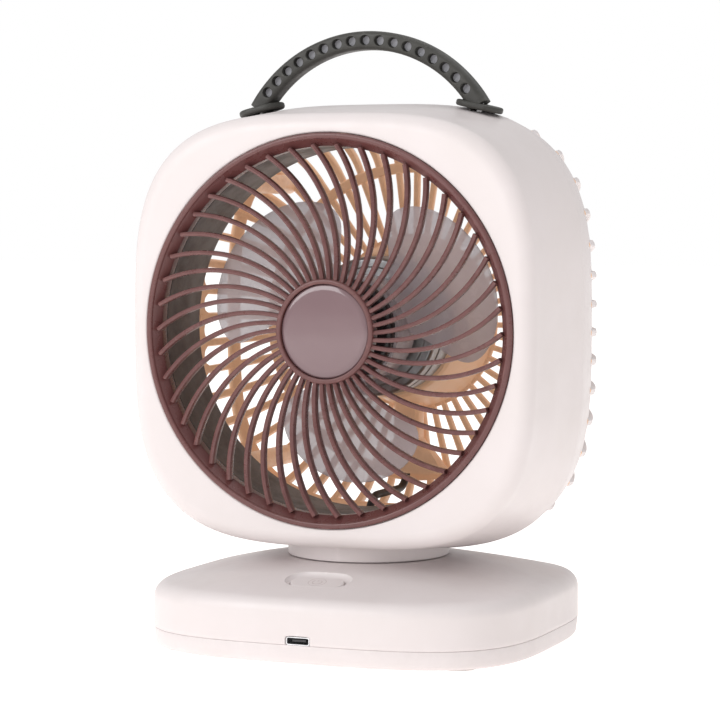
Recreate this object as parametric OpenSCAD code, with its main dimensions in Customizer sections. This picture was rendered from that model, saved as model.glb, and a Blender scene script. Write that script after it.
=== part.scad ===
/* [Head] */
// Outer radius of the front grille ring
grille_r = 67.5; // [60:0.5:80]
// Width of the housing beyond the grille ring
rim_w = 11; // [8:0.5:16]
// Exponent of the rounded square outline of the head
head_corner = 3.4; // [2.6:0.1:5]
// Distance from the swivel axis to the flat front face
front_reach = 40; // [34:1:48]
// Depth of the front housing, from its flat face to the seam
front_depth = 44; // [40:1:52]
// Depth of the rear cover, from the seam to its flat back
rear_depth = 42; // [38:1:50]
// Radius of the rounded edge round the front face
front_fillet = 7; // [4:0.5:9]
// How far the rear cover rounds inwards towards its back
back_sweep = 20; // [14:1:24]
// Wall of the moulded shells
wall = 2.2; // [1.6:0.1:3]

/* [Front grille] */
// Number of swept ribs
rib_count = 46; // [30:1:54]
// Width of a rib
rib_w = 1.65; // [1.2:0.05:2.2]
// Depth of a rib along the air axis
rib_depth = 3.6; // [2.5:0.1:5]
// Radius of the arc that each rib follows
rib_arc_r = 49.7; // [46:0.1:60]
// Radius of the hub ring in the middle of the grille
grille_hub_r = 17.9; // [14:0.1:22]
// Width of the grille's outer ring, measured on the radius
ring_w = 4.6; // [3.5:0.1:6]
// Depth of the grille's outer ring
ring_depth = 7.4; // [6:0.1:10]
// How far the grille stands proud of the front face
grille_proud = 1; // [0.5:0.1:2]

/* [Air duct] */
// Wall of the air duct
duct_wall = 1.5; // [1:0.1:2.5]
// Length of the air duct
duct_len = 26; // [20:0.5:30]
// Radial gap between the blade tips and the duct
tip_gap = 8.4; // [2:0.1:12]

/* [Rear cover] */
// Number of radial ribs
back_rib_count = 48; // [36:1:56]
// Rib width at the middle disc
back_rib_in = 2; // [1.6:0.1:2.4]
// Rib width at the outer edge
back_rib_out = 3; // [2.2:0.1:3.6]
// How far the ribs stand proud of the cover
back_rib_proud = 1.6; // [0.8:0.1:2.4]
// Radius of the solid middle disc
back_disc_r = 32.5; // [30:0.5:36]
// Mean radius of the ring that ties the ribs
tie_ring_r = 57; // [50:0.5:62]
// Width of the ring that ties the ribs
tie_ring_w = 4; // [2.5:0.1:6]

/* [Fan motor] */
// Radius of the motor can
can_r = 24.8; // [22:0.1:27]
// Length of the motor can
can_len = 18; // [15:0.5:20]
// Radius of the motor shaft
shaft_r = 2.5; // [2:0.1:3.5]
// Radius of the impeller hub
hub_r = 17.5; // [15:0.5:20]
// Length of the impeller hub
hub_len = 20; // [16:0.5:22]
// Number of blades
blade_count = 3; // [2:1:7]
// Pitch of the blades
blade_pitch = 24; // [15:1:30]

/* [Base] */
// Width of the base
base_w = 139; // [125:1:170]
// Depth of the base
base_d = 127; // [120:1:155]
// Height of the base at the neck
base_h = 30.3; // [28:0.1:36]
// Exponent of the rounded outline of the base
base_corner = 3.43; // [2.6:0.01:5]
// Height of the seam between the two base shells
seam_h = 7; // [7:0.5:9]
// Height of the straight wall of the base
side_h = 17.5; // [16:0.5:20]
// Radius of the rounded upper edge of the base
base_fillet = 5.5; // [4:0.5:7]
// Radius of the turning neck
neck_r = 28.7; // [26:0.1:32]
// Gap between the base and the bottom of the head
head_gap = 2; // [1:0.1:4]

/* [Handle] */
// Outer radius of the handle arch
arch_r = 52; // [46:0.5:60]
// Radial thickness of the strap
strap_t = 6.6; // [5:0.1:9]
// Depth of the strap, front to back
strap_w = 8.4; // [6:0.1:12]
// Half the angle that the arch covers
arch_half = 57.5; // [54:0.5:62]
// Number of dimples on each face
dimple_count = 17; // [9:1:19]
// Radius of a dimple
dimple_r = 1.9; // [1.2:0.05:2.2]
// Depth of a dimple
dimple_depth = 3; // [0.8:0.1:3.4]

/* [Swing drive] */
// Module of the swing gears
gear_module = 1; // [0.8:0.05:1.1]
// Teeth of the full circle of the swing gear
gear_teeth = 42; // [36:1:48]
// Teeth of the drive pinion
pinion_teeth = 14; // [14:2:18]
// Thickness of the swing gear
gear_t = 4; // [3:0.1:5]
// Outer radius of the neck's hollow spigot
spigot_r = 16; // [14:0.5:17]
// Radial running clearance of the turning fits
run_clear = 0.05; // [0.02:0.01:0.1]

/* [Button and socket] */
// Width of the power button
button_w = 19.3; // [14:0.1:22]
// Front to back size of the power button
button_d = 8.6; // [6:0.1:10]
// Travel of the power button
button_travel = 0.8; // [0.4:0.1:1.2]
// Distance of the power button in from the front edge
button_inset = 16; // [14:0.5:18]
// Width of the charging socket
socket_w = 8.5; // [8.5:0.1:9.5]
// Height of the charging socket
socket_h = 2.8; // [2.6:0.1:3.4]

/* [Hidden] */
$fn = 64;

// Colours
shell_col = "#e6e0e0";
grille_col = "#653f3e";
badge_col = "#88797e";
duct_col = "#45403c";
blade_col = "#c9bfc2";
tan_col = "#b08c70";
dark_col = "#33342f";
steel_col = "#a9abad";
board_col = "#2f6b46";
pom_col = "#efeee8";

// Shared clearances and fasteners
slip = 0.1;
skin_gap = 0.3;
outline_n = 72;
screw_r = 1.25;
pilot_r = 1.3;
screw_head_r = 2.4;
screw_head_t = 1.6;
boss_r = 3.6;

// Head, in its own frame: +z points out of the front along the air axis
head_r = grille_r + rim_w;
head_bottom = base_h + head_gap;
axis_h = head_bottom + head_r;
face_z = front_reach;
seam_z = face_z - front_depth;
back_z = seam_z - rear_depth;
draft = 2;
rear_step = 0.3;
ring_front = face_z + grille_proud;
ring_back = ring_front - ring_depth;
rib_back = ring_front - 0.6 - rib_depth;
rib_arc_shift = rib_arc_r + 1.85;
rib_arc_turn = 73.7;
duct_r = grille_r - ring_w;
duct_flange_t = 1.6;
duct_flange_r = grille_r + 2.5;
duct_front = ring_back - skin_gap;
duct_back = duct_front - duct_len;
duct_ear_a = 32;
post_a = 45;
post_r = grille_r + 4.5;
post_seat_z = seam_z - 16;
side_skin = 16;
edge_band_z = seam_z - 29;
edge_band_t = 4;
cable_gap_r = 9;

// Motor and impeller, along the air axis
can_front = -1;
can_back = can_front - can_len;
hub_back = can_front + 3;
hub_front = hub_back + hub_len;
blade_tip_r = duct_r - tip_gap;
blade_t = 1.6;
frame_plate_t = 2.4;
frame_front = can_back - skin_gap;
frame_back = back_z + wall + slip;
strut_w = 10;
strut_d = 8;

// Base
feet_h = 0.6;
floor_t = 2;
floor_z = feet_h + floor_t;
base_a = base_w / 2;
base_b = base_d / 2;
neck_gap = 0.3;
neck_bottom = base_h + neck_gap;
neck_top = head_bottom + 8;
bush_r = spigot_r + 2;
bush_flange_r = bush_r + 5;
bush_flange_t = 1.2;
collar_r = bush_r + 3;
gear_pitch_r = gear_module * gear_teeth / 2;
pinion_pitch_r = gear_module * pinion_teeth / 2;
gear_distance = gear_pitch_r + pinion_pitch_r;
gear_top = base_h - 8.8;
gear_bottom = gear_top - gear_t;
spigot_step_r = spigot_r - 2;
washer_t = 1;
collar_bottom = gear_top + 0.6;
board_t = 1.6;
board_w = 44;
board_d = 28;
board_front = -base_b + 2.9;
button_y = -base_b + button_inset;
button_slope = atan((base_h - side_h - base_fillet) / (base_b - base_fillet - neck_r - 0.8));
button_z = side_h + base_fillet + (button_inset - base_fillet) * tan(button_slope);
switch_top = seam_h + 5;
plunger_r = 1.75;
cell_r = 9.1;
cell_len = 65;
cell_z = floor_z + cell_r + 0.3;
cell_x = [-gear_pitch_r - 13.5, -gear_pitch_r - 32.3];
base_boss_x = base_a - 19.5;
base_boss_y = base_b - 18.5;
foot_x = base_a - 19.5;
foot_y = base_b - 18.5;
foot_r = 7;
motor_r = 12;
motor_top = gear_bottom - 2;
motor_ear_y = motor_r + 5;

// Handle
strap_mid_r = arch_r - strap_t / 2;
pad_x = strap_mid_r * sin(arch_half);
pad_t = 2.3;
pad_len = 17;
pad_w = strap_w + 3;
pad_y = outline_height(pad_x, head_r, head_corner);
pad_tilt = outline_slope(pad_x, head_r, head_corner);
arch_y = pad_y + pad_t - strap_mid_r * cos(arch_half);
plate_t = 1.6;

// ---- Outline helpers ----

function sgn_pow(v, e) = sign(v) * pow(abs(v), e);

function rounded_outline(a, b, corner) = [
  for (i = [0:outline_n - 1])
    let (t = 360 * i / outline_n)
      [a * sgn_pow(cos(t), 2 / corner), b * sgn_pow(sin(t), 2 / corner)]
];

// Solid through a stack of outlines [z, a, b, corner], lowest first
module loft(levels) {
  rows = len(levels);
  points = [
    for (l = levels)
      for (p = rounded_outline(l[1], l[2], l[3])) [p[0], p[1], l[0]]
  ];
  sides = [
    for (k = [0:rows - 2])
      for (i = [0:outline_n - 1])
        let (j = (i + 1) % outline_n, a = k * outline_n, b = (k + 1) * outline_n)
          each [[a + i, b + i, b + j], [a + i, b + j, a + j]]
  ];
  bottom = [[for (i = [0:outline_n - 1]) i]];
  top = [[for (i = [outline_n - 1:-1:0]) (rows - 1) * outline_n + i]];
  polyhedron(points=points, faces=concat(sides, bottom, top), convexity=4);
}

// Height and downward slope of a square rounded outline at a distance x from its middle
function outline_height(x, a, corner) = a * pow(1 - pow(abs(x) / a, corner), 1 / corner);

function outline_slope(x, a, corner) =
  atan(pow(abs(x) / outline_height(x, a, corner), corner - 1));

// Half size of the head at a depth z of its own frame, at its outer skin
function head_half(z) =
  z > face_z - front_fillet
    ? head_r - front_fillet + sqrt(pow(front_fillet, 2) - pow(z - face_z + front_fillet, 2))
    : z >= seam_z ? head_r : rear_half(seam_z - z);

function rear_half(s) =
  head_r - rear_step - s * tan(draft)
    - back_sweep * (1 - sqrt(max(0, 1 - pow(s / rear_depth, 2))));

module head_frame() {
  translate([0, 0, axis_h]) rotate([90, 0, 0]) children();
}

module corners(x, y) {
  for (sx = [-1, 1], sy = [-1, 1]) translate([sx * x, sy * y, 0]) children();
}

// Four places on a circle, at an angle either side of the vertical
module four_ways(r, a) {
  for (t = [a, 180 - a, 180 + a, -a]) rotate([0, 0, t]) translate([r, 0, 0]) children();
}

module tube(r_out, r_in, z0, z1) {
  translate([0, 0, z0]) difference() {
    cylinder(r=r_out, h=z1 - z0, $fn=96);
    translate([0, 0, -1]) cylinder(r=r_in, h=z1 - z0 + 2, $fn=96);
  }
}

module rod(r, z0, z1) {
  translate([0, 0, z0]) cylinder(r=r, h=z1 - z0);
}

// Stadium of full size w x d, thickness h
module pill(w, d, h) {
  linear_extrude(h) {
    square([w - d, d], center=true);
    for (s = [-1, 1]) translate([s * (w - d) / 2, 0]) circle(r=d / 2);
  }
}

module rounded_box2d(w, h, r) {
  square([w - 2 * r, h], center=true);
  square([w, h - 2 * r], center=true);
  for (sx = [-1, 1], sy = [-1, 1]) translate([sx * (w / 2 - r), sy * (h / 2 - r)]) circle(r=r);
}

// Pan head screw: head below z = 0, shank of the given length above it
module screw(len) {
  difference() {
    union() {
      rod(screw_head_r, -screw_head_t, 0);
      rod(screw_r, 0, len);
    }
    for (a = [0, 90]) rotate([0, 0, a])
      translate([0, 0, -screw_head_t]) cube([2.6, 0.6, 1.6], center=true);
  }
}

// ---- Gears ----

function involute_deg(c) = let (a = acos(min(1, c))) tan(a) * 180 / PI - a;

// Half angle of a tooth at radius r of a gear with pitch radius rp
function tooth_half(r, rp, n) =
  90 / n - 0.12 / rp * 180 / PI / 2 + involute_deg(cos(20)) - involute_deg(rp * cos(20) / r);

module gear2d(n, first, last) {
  rp = gear_module * n / 2;
  base_r = rp * cos(20);
  tip_r = rp + 0.85 * gear_module;
  root_r = rp - 1.1 * gear_module;
  radii = [max(base_r, root_r), rp, (rp + tip_r) / 2, tip_r];
  circle(r=root_r, $fn=96);
  for (k = [first:last]) rotate(360 * k / n)
    polygon(concat(
      [[root_r - 0.6, -root_r * sin(tooth_half(radii[0], rp, n))]],
      [for (r = radii) let (h = -tooth_half(r, rp, n)) [r * cos(h), r * sin(h)]],
      [for (i = [3:-1:0]) let (r = radii[i], h = tooth_half(r, rp, n)) [r * cos(h), r * sin(h)]],
      [[root_r - 0.6, root_r * sin(tooth_half(radii[0], rp, n))]]
    ));
}

// ---- Base ----

function base_level(z, inset, extra) =
  [z, base_a - inset - extra, base_b - inset - extra, base_corner];

function crown_level(t, extra) =
  let (a0 = base_a - base_fillet, b0 = base_b - base_fillet, r1 = neck_r + 0.8)
    [
      side_h + base_fillet + (base_h - side_h - base_fillet) * (t + 0.25 * t * (1 - t)) - extra,
      a0 + (r1 - a0) * t - extra,
      b0 + (r1 - b0) * t - extra,
      base_corner + (2 - base_corner) * t
    ];

function base_dome(z0, extra) = concat(
  [base_level(z0, 0, extra), base_level(side_h, 0, extra)],
  [for (a = [25, 50, 70])
    base_level(side_h + (base_fillet - extra) * sin(a), base_fillet * (1 - cos(a)), extra * cos(a))],
  [for (t = [0, 0.3, 0.65, 1]) crown_level(t, extra)]
);

module usb_opening(grow) {
  translate([0, -base_b - 1, seam_h + socket_h / 2]) rotate([-90, 0, 0])
    linear_extrude(8) rounded_box2d(socket_w + 2 * grow, socket_h + 2 * grow, 0.9);
}

module base_lower_shell() color(shell_col) {
  difference() {
    union() {
      difference() {
        loft([
          base_level(feet_h, 1.4, 0),
          base_level(feet_h + 0.4, 0.7, 0),
          base_level(feet_h + 1.2, 0.5, 0),
          base_level(seam_h - 0.4, 0.1, 0),
          base_level(seam_h, 0.5, 0)
        ]);
        translate([0, 0, floor_z]) linear_extrude(seam_h)
          polygon(rounded_outline(base_a - wall - 0.5, base_b - wall - 0.5, base_corner));
      }
      corners(base_boss_x, base_boss_y) rod(boss_r, floor_z - 1, seam_h);
      corners(board_w / 2 - 4, 0) translate([0, board_front + board_d / 2, 0])
        rod(boss_r, floor_z - 1, seam_h - board_t);
      for (s = [-1, 1]) translate([gear_distance, s * motor_ear_y, 0])
        rod(boss_r - 0.6, floor_z - 1, motor_top - 1.4);
      for (x = [cell_x[0] + cell_r + 1.1, cell_x[1] - cell_r - 1.1], y = [-20, 20])
        translate([x, y, floor_z - 1 + 3]) cube([1.4, 14, 6], center=true);
    }
    corners(foot_x, foot_y) rod(foot_r + slip, -1, feet_h + 0.9);
    corners(base_boss_x, base_boss_y) rod(screw_r + 0.25, -1, seam_h + 1);
    corners(base_boss_x, base_boss_y) rod(screw_head_r + 0.2, -1, feet_h + 0.9 + screw_head_t + 0.2);
    corners(board_w / 2 - 4, 0) translate([0, board_front + board_d / 2, 0])
      rod(pilot_r, floor_z, seam_h);
    for (s = [-1, 1]) translate([gear_distance, s * motor_ear_y, 0])
      rod(pilot_r, floor_z, seam_h + 12);
  }
}

module base_upper_shell() color(shell_col) {
  difference() {
    union() {
      difference() {
        loft(base_dome(seam_h, 0));
        loft(base_dome(seam_h - 1, wall));
      }
      corners(base_boss_x, base_boss_y) rod(boss_r, seam_h, side_h + base_fillet - 0.4);
      tube(collar_r, bush_r, collar_bottom, base_h - 1);
    }
    corners(base_boss_x, base_boss_y) rod(pilot_r, seam_h - 1, side_h);
    rod(bush_r, seam_h, base_h + 1);
    rod(bush_flange_r, base_h - bush_flange_t, base_h + 1);
    translate([0, button_y, button_z]) rotate([button_slope, 0, 0]) {
      translate([0, 0.6, -0.9]) pill(button_w + 5, button_d + 5, 5);
      translate([0, 0, -6]) pill(button_w + 0.6, button_d + 0.6, 10);
    }
    usb_opening(0.35);
  }
}

module rubber_feet() color(dark_col) {
  corners(foot_x, foot_y) rod(foot_r, 0, feet_h + 0.9);
}

module base_screws() color(steel_col) {
  corners(base_boss_x, base_boss_y) translate([0, 0, feet_h + 0.9 + screw_head_t + 0.2]) screw(9);
}

module usb_socket() color(steel_col) {
  translate([0, -base_b + 0.5, seam_h + socket_h / 2]) rotate([-90, 0, 0]) linear_extrude(5.6)
    difference() {
      rounded_box2d(socket_w, socket_h, 0.8);
      rounded_box2d(socket_w - 0.7, socket_h - 0.7, 0.5);
    }
}

module usb_tongue() color(dark_col) {
  translate([0, -base_b + 3.8, seam_h + socket_h / 2]) {
    cube([5, 4.4, 0.7], center=true);
    translate([0, 1.3, 0]) cube([socket_w - 0.9, 1.6, socket_h - 0.9], center=true);
  }
}

module main_board() color(board_col) {
  difference() {
    translate([-board_w / 2, board_front, seam_h - board_t]) cube([board_w, board_d, board_t]);
    corners(board_w / 2 - 4, 0) translate([0, board_front + board_d / 2, 0])
      rod(screw_r + 0.2, seam_h - board_t - 1, seam_h + 1);
  }
}

module board_screws() color(steel_col) {
  corners(board_w / 2 - 4, 0) translate([0, board_front + board_d / 2, seam_h])
    rotate([180, 0, 0]) screw(4);
}

module power_switch() color(dark_col) {
  difference() {
    translate([0, button_y, seam_h + 2]) cube([7, 7, 4], center=true);
    translate([0, button_y, 0]) rod(plunger_r + run_clear, seam_h + 1, switch_top + 1);
  }
}

module battery_cells() color("#4f7f9f") {
  for (x = cell_x) translate([x, -cell_len / 2, cell_z]) rotate([-90, 0, 0]) {
    cylinder(r=cell_r, h=cell_len - 1);
    translate([0, 0, cell_len - 1]) cylinder(r=3, h=1);
  }
}

module swing_motor() color(steel_col) {
  difference() {
    translate([gear_distance, 0, 0]) {
      rod(motor_r, floor_z + 0.2, motor_top);
      translate([0, 0, motor_top - 1.4]) linear_extrude(1.4) {
        square([7, 2 * motor_ear_y], center=true);
        for (s = [-1, 1]) translate([0, s * motor_ear_y]) circle(r=3.5);
      }
    }
    translate([gear_distance, 0, 0]) {
      rod(shaft_r + run_clear, floor_z + 3, motor_top + 1);
      for (s = [-1, 1]) translate([0, s * motor_ear_y, 0]) rod(screw_r + 0.2, 0, motor_top + 1);
    }
  }
}

module swing_motor_screws() color(steel_col) {
  for (s = [-1, 1]) translate([gear_distance, s * motor_ear_y, motor_top])
    rotate([180, 0, 0]) scale(0.9) screw(8);
}

module neck_bush() color(pom_col) {
  difference() {
    union() {
      rod(bush_r, collar_bottom, base_h);
      rod(bush_flange_r, base_h - bush_flange_t, base_h + neck_gap / 2);
    }
    rod(spigot_r + run_clear, 0, base_h + 1);
  }
}

// ---- Button ----

module power_symbol() {
  difference() {
    circle(r=1.9);
    circle(r=1.45);
    translate([0, 1.6]) square([1.6, 2], center=true);
  }
  translate([0, 1.35]) square([0.45, 1.9], center=true);
}

module power_button() color(shell_col) {
  translate([0, button_y, button_z]) rotate([button_slope, 0, 0]) difference() {
    union() {
      translate([0, 0, -3]) pill(button_w, button_d, 3.1);
      translate([0, 0, -4.6]) pill(button_w + 2.4, button_d + 2.4, 1.2);
    }
    linear_extrude(1) difference() {
      circle(r=3.3);
      circle(r=2.9);
    }
    translate([0, 0, -0.15]) linear_extrude(1) power_symbol();
  }
  translate([0, button_y, 0]) rod(2.4, switch_top + 1.2, button_z - 3);
}

module switch_plunger() color(steel_col) {
  translate([0, button_y, 0]) rod(plunger_r, seam_h + 2.4, switch_top + 1.2);
}

// ---- Swing drive ----

module drive_pinion() color(pom_col) {
  translate([gear_distance, 0, gear_bottom - 0.3]) difference() {
    linear_extrude(gear_t + 0.6) rotate(180 / pinion_teeth)
      gear2d(pinion_teeth, 0, pinion_teeth - 1);
    translate([0, 0, -1]) cylinder(r=shaft_r, h=gear_t + 3);
  }
}

module pinion_shaft() color(steel_col) {
  translate([gear_distance, 0, 0]) rod(shaft_r, floor_z + 3.3, gear_top + 0.3);
}

module neck() color(shell_col) {
  difference() {
    union() {
      rod(neck_r, neck_bottom, neck_top);
      rod(neck_r + 1.9, neck_top + 0.3, neck_top + 1.9);
      rod(neck_r - 2, neck_top - 1, neck_top + 1);
      rod(spigot_r, gear_top, neck_bottom + 1);
      rod(spigot_step_r, gear_bottom, neck_bottom + 1);
    }
    rod(cable_gap_r, gear_bottom - 1, neck_top + 4);
    tube(neck_r - 2.4, spigot_r, neck_bottom + 2, neck_top - 2);
    for (a = [60:120:300]) rotate([0, 0, a]) translate([(cable_gap_r + spigot_step_r) / 2, 0, 0])
      rod(0.95, gear_bottom - 1, gear_bottom + 6);
  }
}

module swing_gear() color(pom_col) {
  translate([0, 0, gear_bottom]) difference() {
    linear_extrude(gear_t) gear2d(gear_teeth, -8, 8);
    translate([0, 0, -1]) cylinder(r=spigot_step_r + 0.02, h=gear_t + 2);
  }
}

module gear_washer() color(steel_col) {
  difference() {
    tube(spigot_step_r + 2, cable_gap_r, gear_bottom - washer_t, gear_bottom);
    for (a = [60:120:300]) rotate([0, 0, a]) translate([(cable_gap_r + spigot_step_r) / 2, 0, 0])
      rod(1, gear_bottom - 3, gear_bottom + 1);
  }
}

module gear_screws() color(steel_col) {
  for (a = [60:120:300]) rotate([0, 0, a])
    translate([(cable_gap_r + spigot_step_r) / 2, 0, gear_bottom - washer_t])
      scale(0.74) screw(7);
}

// ---- Head shells ----

function head_levels(zs, grow) = [for (z = zs)
  [z, head_half(z) + grow, head_half(z) + grow, head_corner]];

front_fillet_zs = [for (a = [0:18:90]) face_z - front_fillet * (1 - sin(a))];
rear_zs = [for (a = [90:-10:0]) seam_z - rear_depth * sin(a)];

module neck_opening() {
  translate([0, -axis_h, 0]) rotate([-90, 0, 0]) rod(neck_r + slip, 0, neck_top + 6);
}

module front_housing() color(shell_col) {
  head_frame() difference() {
    union() {
      difference() {
        loft(concat([[seam_z, head_r, head_r, head_corner]], head_levels(front_fillet_zs, 0)));
        translate([0, 0, seam_z - 1]) linear_extrude(front_depth - front_fillet + 1.8)
          polygon(rounded_outline(head_r - wall, head_r - wall, head_corner));
        translate([0, 0, seam_z - 1]) linear_extrude(front_depth - wall - 0.2 + 1) {
          circle(r=head_r - front_fillet + 0.5, $fn=96);
          square(2 * (head_r - front_fillet) - 22, center=true);
        }
      }
      four_ways(post_r, post_a) rod(boss_r, seam_z, face_z - 1);
      four_ways(duct_flange_r + 0.4, duct_ear_a) rod(boss_r - 0.8, duct_front, face_z - 1);
    }
    rod(grille_r, seam_z - 2, face_z + 1, $fn=96);
    four_ways(post_r, post_a) rod(pilot_r, seam_z - 1, seam_z + 14);
    four_ways(duct_flange_r + 0.4, duct_ear_a) rod(0.95, duct_front - 1, face_z - 1.4);
    neck_opening();
    for (s = [-1, 1]) translate([s * pad_x, pad_y, 0]) rotate([-90, 0, -s * pad_tilt])
      rod(screw_r + 0.25, -8, 4);
  }
}

module back_rib() {
  translate([0, 0, back_z - 4]) linear_extrude(rear_depth - side_skin + 6) polygon([
    [back_disc_r - 2, -back_rib_in / 2], [head_r + 4, -back_rib_out / 2],
    [head_r + 4, back_rib_out / 2], [back_disc_r - 2, back_rib_in / 2]
  ]);
}

module rear_cover() color(shell_col) {
  big = 2 * head_r + 8;
  head_frame() difference() {
    union() {
      difference() {
        union() {
          intersection() {
            loft(head_levels(rear_zs, 0));
            union() {
              translate([-big / 2, -big / 2, seam_z - side_skin]) cube([big, big, side_skin]);
              translate([-big / 2, -big / 2, edge_band_z - edge_band_t])
                cube([big, big, edge_band_t]);
              rod(back_disc_r, back_z - 1, back_z + 8);
              tube(tie_ring_r + tie_ring_w / 2, tie_ring_r - tie_ring_w / 2, back_z - 1, back_z + 8);
              translate([-neck_r - 4, -head_r - 2, back_z + 8])
                cube([2 * neck_r + 8, 20, rear_depth - 8]);
            }
          }
          intersection() {
            loft(head_levels(rear_zs, back_rib_proud));
            for (k = [0:back_rib_count - 1]) rotate([0, 0, 360 * k / back_rib_count - 1.2])
              back_rib();
          }
        }
        translate([0, 0, wall]) loft(concat(
          head_levels(rear_zs, -wall),
          [[seam_z + 4, head_r - wall, head_r - wall, head_corner]]
        ));
      }
      intersection() {
        four_ways(post_r, post_a) rod(boss_r, back_z, seam_z);
        loft(head_levels(rear_zs, 0));
      }
    }
    four_ways(post_r, post_a) rod(screw_r + 0.25, back_z - 4, seam_z + 1);
    four_ways(post_r, post_a) rod(screw_head_r + 0.2, back_z - 4, post_seat_z);
    for (t = [0, 90, 180]) rotate([0, 0, t]) translate([back_disc_r - 6, 0, 0])
      rod(screw_r + 0.25, back_z - 4, back_z + 8);
    neck_opening();
  }
}

module housing_screws() color(steel_col) {
  head_frame() four_ways(post_r, post_a) translate([0, 0, post_seat_z]) screw(24);
}

module front_grille() color(grille_col) {
  hub_in = grille_hub_r - 1.7;
  head_frame() {
    rotate_extrude($fn=128) polygon([
      [duct_r, ring_back], [duct_r, ring_front - 3.6], [grille_r - 2.1, ring_front - 0.6],
      [grille_r - 1.6, ring_front - 0.15], [grille_r - 1.05, ring_front],
      [grille_r - 0.5, ring_front - 0.25], [grille_r - slip, ring_front - 0.8],
      [grille_r - slip, ring_back], [grille_r - 1.3, ring_back],
      [grille_r - 1.3, ring_front - 2.6], [duct_r + 1.5, ring_front - 5.2], [duct_r + 1.5, ring_back]
    ]);
    tube(grille_hub_r, hub_in, ring_front - 5, ring_front);
    rod(hub_in + 0.5, ring_front - 5, ring_front - 2.4);
    intersection() {
      tube(duct_r + 0.8, grille_hub_r - 0.4, ring_back, ring_front);
      for (k = [0:rib_count - 1]) rotate([0, 0, 360 * k / rib_count])
        translate([rib_arc_shift * cos(rib_arc_turn), rib_arc_shift * sin(rib_arc_turn), rib_back])
          rotate([0, 0, -90]) rotate_extrude(angle=70, $fn=96)
            translate([rib_arc_r - rib_w / 2, 0]) square([rib_w, rib_depth]);
    }
  }
}

module grille_badge() color(badge_col) {
  head_frame() rod(grille_hub_r - 1.7 - 0.08, ring_front - 2.4, ring_front - 0.7);
}

module air_duct() color(duct_col) {
  head_frame() difference() {
    union() {
      rod(duct_r + duct_wall, duct_back, duct_front, $fn=96);
      rod(duct_flange_r - 2.7, duct_front - duct_flange_t, duct_front, $fn=96);
      four_ways(duct_flange_r + 0.4, duct_ear_a)
        rod(boss_r + 1, duct_front - duct_flange_t, duct_front);
    }
    rod(duct_r, duct_back - 1, duct_front + 1, $fn=96);
    four_ways(duct_flange_r + 0.4, duct_ear_a) rod(1.2, duct_front - 4, duct_front + 1);
  }
}

module duct_screws() color(steel_col) {
  head_frame() four_ways(duct_flange_r + 0.4, duct_ear_a)
    translate([0, 0, duct_front - duct_flange_t]) scale(0.74) screw(6);
}

// ---- Fan motor and impeller ----

module motor_frame() color(tan_col) {
  strut_top = -can_r - 3;
  strut_foot = -head_r + 23;
  head_frame() difference() {
    union() {
      rotate_extrude($fn=96) polygon([
        [4, frame_front], [can_r + 0.9, frame_front], [can_r + 1.6, frame_front - 0.7],
        [back_disc_r - 1.5, frame_back + 3], [back_disc_r - 1, frame_back],
        [back_disc_r - 4, frame_back], [can_r - 1.4, frame_front - frame_plate_t],
        [4, frame_front - frame_plate_t]
      ]);
      for (t = [0, 90, 180]) rotate([0, 0, t]) translate([back_disc_r - 6, 0, 0])
        rod(boss_r - 0.4, frame_back, frame_front - 1);
      translate([0, 0, frame_back + 0.4]) linear_extrude(strut_d) polygon([
        [-strut_w / 2, strut_top], [-strut_w / 2, strut_foot + 13], [-strut_w * 1.9, strut_foot],
        [strut_w * 1.9, strut_foot], [strut_w / 2, strut_foot + 13], [strut_w / 2, strut_top]
      ]);
    }
    for (t = [0, 90, 180]) rotate([0, 0, t]) translate([back_disc_r - 6, 0, 0])
      rod(pilot_r, frame_back - 1, frame_front - 10);
    for (a = [90:120:330]) rotate([0, 0, a]) translate([15, 0, 0])
      rod(screw_r + 0.25, frame_back, frame_front + 1);
    translate([-2, strut_foot - 1, frame_back + strut_d - 3.2]) cube([4, 32, 8]);
  }
}

module frame_screws() color(steel_col) {
  head_frame() for (t = [0, 90, 180]) rotate([0, 0, t]) translate([back_disc_r - 6, 0, back_z])
    screw(9);
}

module motor_can() color(steel_col) {
  head_frame() difference() {
    union() {
      rod(can_r - 0.8, can_back, can_front, $fn=96);
      rod(can_r, can_back, can_front - 0.8, $fn=96);
      rod(7, can_front - 1, can_front + 1.4);
    }
    rod(can_r - 1.2, can_back + 1.6, can_front - 1.4, $fn=96);
    rod(5.5, can_front - 4, can_front + 0.4);
    rod(shaft_r + 0.6, can_back - 1, can_front + 3);
    rod(5.5, can_back + 0.8, can_back + 4);
    for (a = [90:120:330]) rotate([0, 0, a]) translate([15, 0, 0])
      rod(pilot_r, can_back - 1, can_back + 2);
  }
}

module motor_stator() color("#8a4b2a") {
  head_frame() difference() {
    union() {
      tube(can_r - 1.3, can_r - 5, can_back + 5, can_front - 4);
      for (k = [0:5]) rotate([0, 0, 60 * k]) translate([13, -2, can_back + 5])
        cube([can_r - 5 - 12, 4, can_len - 9]);
      for (k = [0:5]) rotate([0, 0, 60 * k]) translate([14.4, -3.4, can_back + 4.2])
        cube([3.6, 6.8, can_len - 7.6]);
    }
    rod(12.4, can_back, can_front);
  }
}

module motor_bearings() color(steel_col) {
  head_frame() {
    tube(5.5, shaft_r + run_clear, can_front - 3.6, can_front + 0.4);
    tube(5.5, shaft_r + run_clear, can_back + 0.8, can_back + 4);
  }
}

module motor_screws() color(steel_col) {
  head_frame() for (a = [90:120:330]) rotate([0, 0, a])
    translate([15, 0, frame_front - frame_plate_t]) screw(frame_plate_t + skin_gap + 1.2);
}

module motor_rotor() color("#5c5c60") {
  head_frame() tube(11.8, shaft_r, can_back + 4.6, can_front - 4);
}

module motor_shaft() color(steel_col) {
  head_frame() rod(shaft_r, can_back + 1, hub_front - 2);
}

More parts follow.
